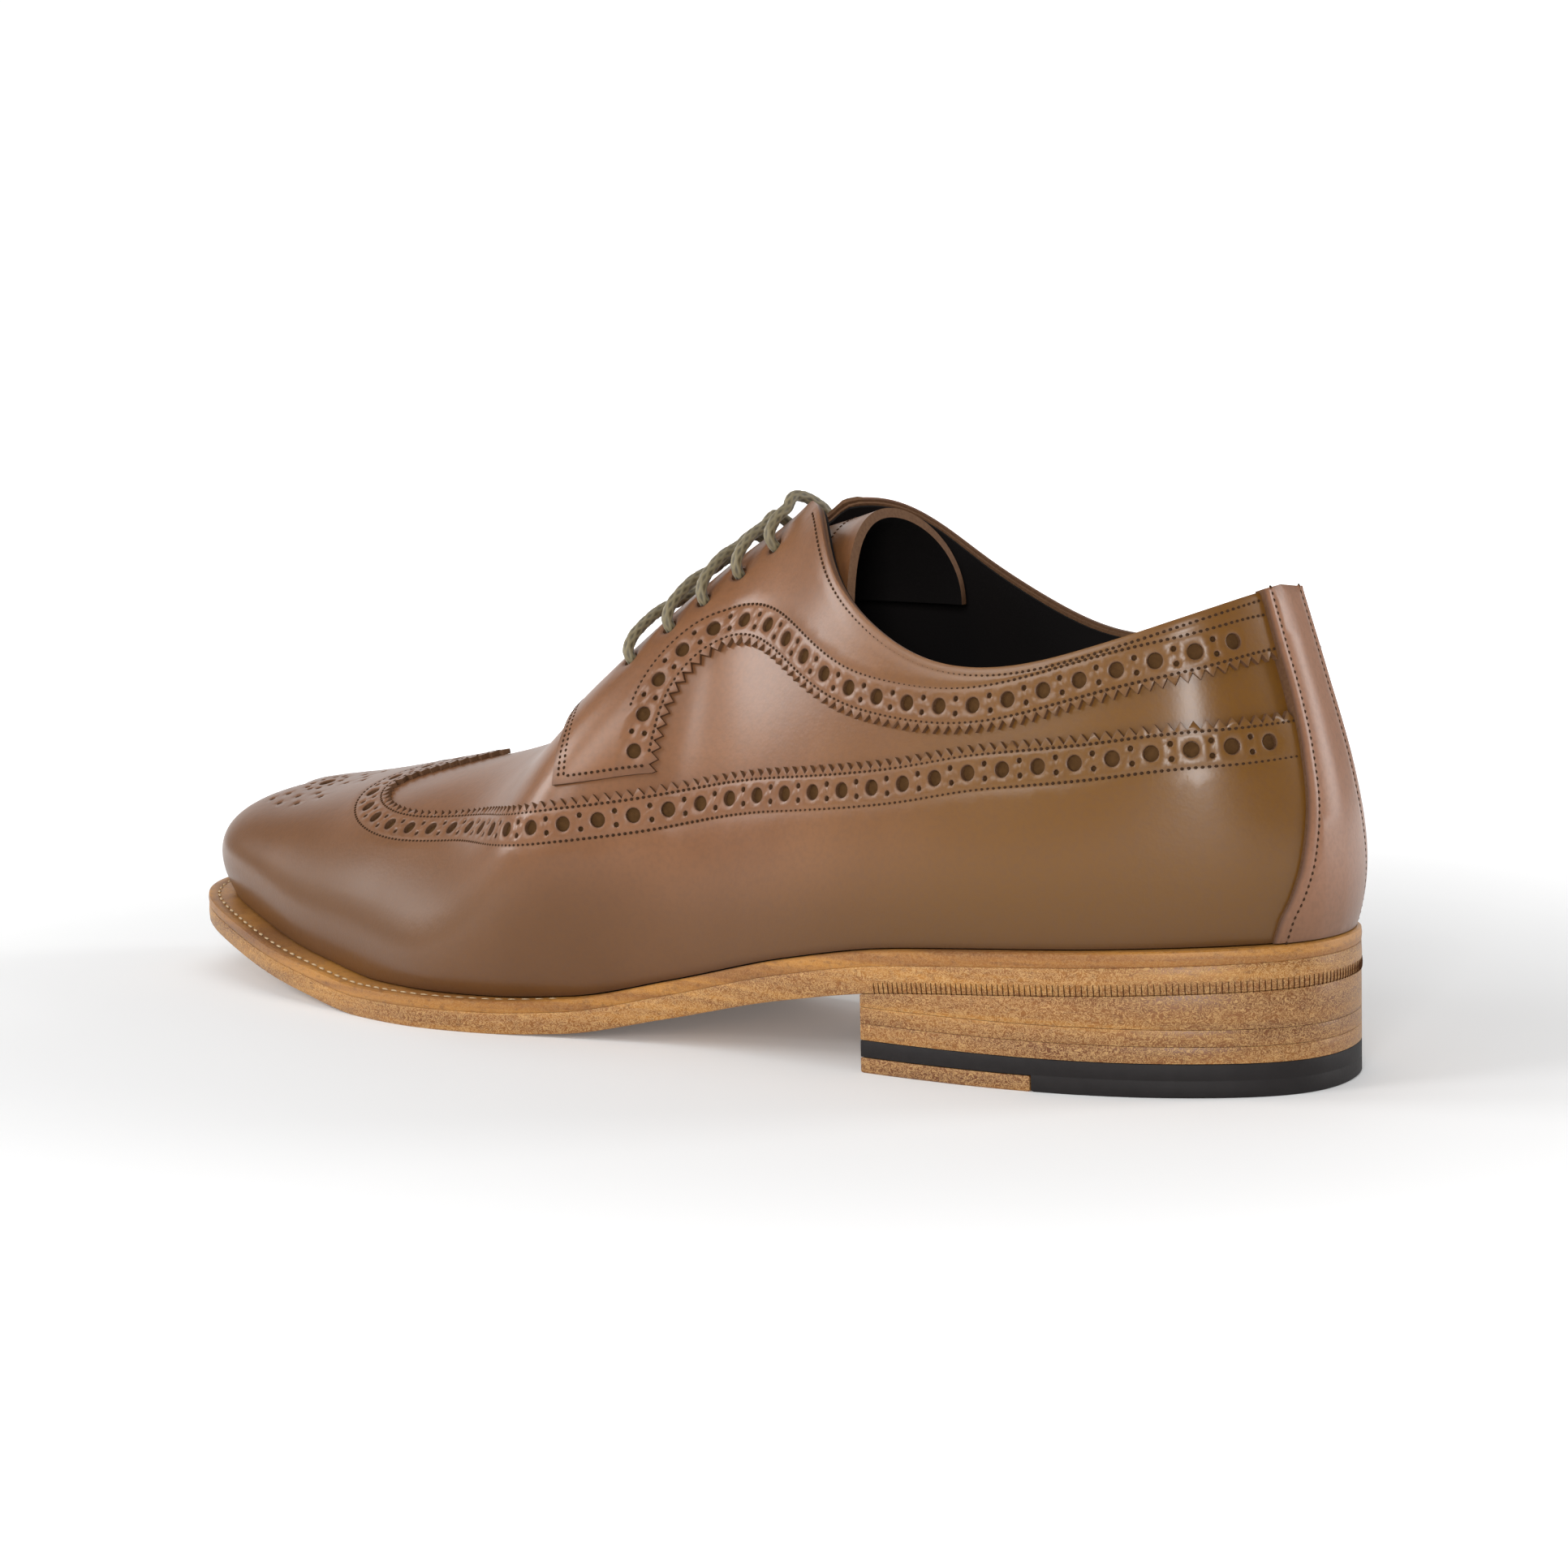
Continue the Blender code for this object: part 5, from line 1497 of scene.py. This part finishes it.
insert = slab(
    "heel_corner", lambda inset: heelLoop(inset, split + gap), level(0.0), level(heel["insert"]),
    finishes["lift"], 0.0004, 0.00010)
print("sole and heel done")


def edgeRow(s, inset, height):
    a, y, na, ny = soleEdge(s, inset)
    return toWorld(np.stack([a, y, height(a)], -1)), outwards(np.stack([na, ny, 0 * na], -1))


def weltStitches():
    s = np.linspace(sole["weltStart"], 2 - sole["weltStart"] - 0.04, 500)
    points, out = edgeRow(s, np.minimum(footInset(s) * 0.75, sole["stitchInset"]), weltTop)
    out[:] = (0, 0, 1)
    return rowOfThreads("welt_threads", [(points, out)], {
        "Pitch": sole["stitchPitch"], "Length": 0.0024, "Width": 0.00075, "Height": 0.0006, "Sink": 0.0002,
        "Finish": finishes["weltThread"]})


def wheelMarks():
    # ticks pressed round the seat, over the joint of outsole and lifts
    s = np.linspace(-0.290, 0.290, 440)
    points, out = edgeRow(np.mod(s, 2), 0.0, lambda a: undersideHeight(a) + 0.0011)
    return rowOfThreads("wheel_marks", [(points, out)], {
        "Pitch": 0.00118, "Length": 0.00026, "Width": 0.0032, "Height": 0.0006, "Sink": 0.00006,
        "Finish": finishes["mark"]})


weltThreads, marks = weltStitches(), wheelMarks()


# What the pieces stand for and ride on

def owns(piece, slot, *nodes):
    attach(piece, "root")
    if nodes:
        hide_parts(*nodes)


wing, facings, vamp, lining, strip = upperPieces
owns(wing, "leather", "upper")
for piece in (facings, vamp, lining, strip, upperThreads, holeShades, tongueThreads):
    owns(piece, "leather")
owns(tonguePiece, "leather", "tongue")
for k, piece in enumerate(laces, 1):
    owns(piece, "lace", "lace_%d" % k)
owns(welt, "welt", "welt")
owns(weltThreads, "welt")
owns(outsole, "sole", "outsole")
for k, piece in enumerate(lifts, 1):
    owns(piece, "lift", "heel_lift_%d" % k)
owns(marks, "lift")
owns(topPiece, "rubber", "heel_rubber")
owns(rearPiece, "rubber")
owns(insert, "lift", "heel_insert")
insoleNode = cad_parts["insole"]
insoleNode.data.materials.clear()
insoleNode.data.materials.append(finishes["insole"])


# Floor, light and camera

studio = {
    "azimuth": 39.795, "elevation": 7.019, "roll": -1.188, "distance": 0.9618,
    "target": (0.00914, 0.0067, 0.04933), "focal": 104.0, "room": 0.16}


def buildFloor():
    mesh = bpy.data.meshes.new("floor")
    size = 2.0
    corners = [(-size, -size, 0), (size, -size, 0), (size, size, 0), (-size, size, 0)]
    mesh.from_pydata(corners, [], [(0, 1, 2, 3)])
    item = bpy.data.objects.new("floor", mesh)
    bpy.context.collection.objects.link(item)
    # a paper sweep: its far part glows by its own emission, a painted light, so that it runs into the white
    # backdrop; near the shoe the glow is faint
    f = Finish("floor_white", Roughness=0.7, Specular_IOR_Level=0.1, Emission_Strength=1.0)
    colour = f.blend(f.noise(3.0), (0.78, 0.78, 0.78), (0.80, 0.80, 0.80))
    radius = f.add("ShaderNodeVectorMath", {"operation": "LENGTH"}, {0: f.place}, "Value")
    # painted light: the floor glows faintly near the shoe and brightly far off
    paintedFarGlow = f.blend(radius.clear(0.12, 0.62), (0.10, 0.10, 0.10), (0.95, 0.95, 0.95))
    mesh.materials.append(f.feed(Base_Color=colour, Emission_Color=paintedFarGlow))


def softLight(name, place, aim, size, power):
    data = bpy.data.lights.new(name, "AREA")
    data.shape, data.size, data.size_y = "RECTANGLE", *size
    data.energy = power
    item = bpy.data.objects.new(name, data)
    bpy.context.collection.objects.link(item)
    item.location = place
    item.rotation_euler = (Vector(place) - Vector(aim)).to_track_quat("Z", "Y").to_euler()


def buildCamera():
    az, el, roll = (math.radians(studio[k]) for k in ("azimuth", "elevation", "roll"))
    back = Vector((math.sin(az) * math.cos(el), -math.cos(az) * math.cos(el), math.sin(el)))
    right = Vector((math.cos(az), math.sin(az), 0))
    up = back.cross(right)
    right, up = right * math.cos(roll) + up * math.sin(roll), up * math.cos(roll) - right * math.sin(roll)
    data = bpy.data.cameras.new("camera")
    data.lens, data.sensor_width = studio["focal"], 36.0
    item = bpy.data.objects.new("camera", data)
    bpy.context.collection.objects.link(item)
    place = Vector(studio["target"]) + Vector((centre[0], centre[1], 0)) + back * studio["distance"]
    item.matrix_world = Matrix.Translation(place) @ Matrix((right, up, back)).transposed().to_4x4()
    bpy.context.scene.camera = item


buildFloor()
softLight("heel", (0.70, -0.98, 0.40), (0.10, 0, 0.06), (0.30, 0.38), 7.8)
softLight("side", (-0.42, -1.05, 0.66), (0.0, 0, 0.05), (0.40, 0.5), 4.8)
softLight("toe", (-1.10, -0.62, 0.60), (-0.03, 0, 0.05), (0.45, 0.45), 6.4)
softLight("rear", (0.95, 0.95, 0.45), (0.10, 0, 0.06), (0.4, 0.8), 7.0)


def buildSky():
    # a white backdrop behind the shoe, and a dimmer room on the camera's side
    sun = bpy.data.lights.new("ceiling", "SUN")
    sun.energy, sun.angle = 0.85, math.radians(60)
    item = bpy.data.objects.new("ceiling", sun)
    bpy.context.collection.objects.link(item)
    world = bpy.data.worlds.new("studio")
    bpy.context.scene.world = world
    world.use_nodes = True
    nodes, links = world.node_tree.nodes, world.node_tree.links
    where, turn = nodes.new("ShaderNodeTexCoord"), nodes.new("ShaderNodeVectorMath")
    ramp = nodes.new("ShaderNodeMapRange")
    turn.operation, ramp.interpolation_type = "DOT_PRODUCT", "SMOOTHSTEP"
    az = math.radians(studio["azimuth"])
    turn.inputs[1].default_value = (-math.sin(az), math.cos(az), 0)
    for key, value in (("From Min", 0.70), ("From Max", 0.90), ("To Min", studio["room"]), ("To Max", 1.05)):
        ramp.inputs[key].default_value = value
    links.new(where.outputs["Generated"], turn.inputs[0])
    links.new(turn.outputs["Value"], ramp.inputs["Value"])
    links.new(ramp.outputs["Result"], nodes["Background"].inputs["Strength"])
    nodes["Background"].inputs["Color"].default_value = (1, 1, 1, 1)


buildSky()
bpy.context.scene.view_settings.view_transform = "Standard"
buildCamera()
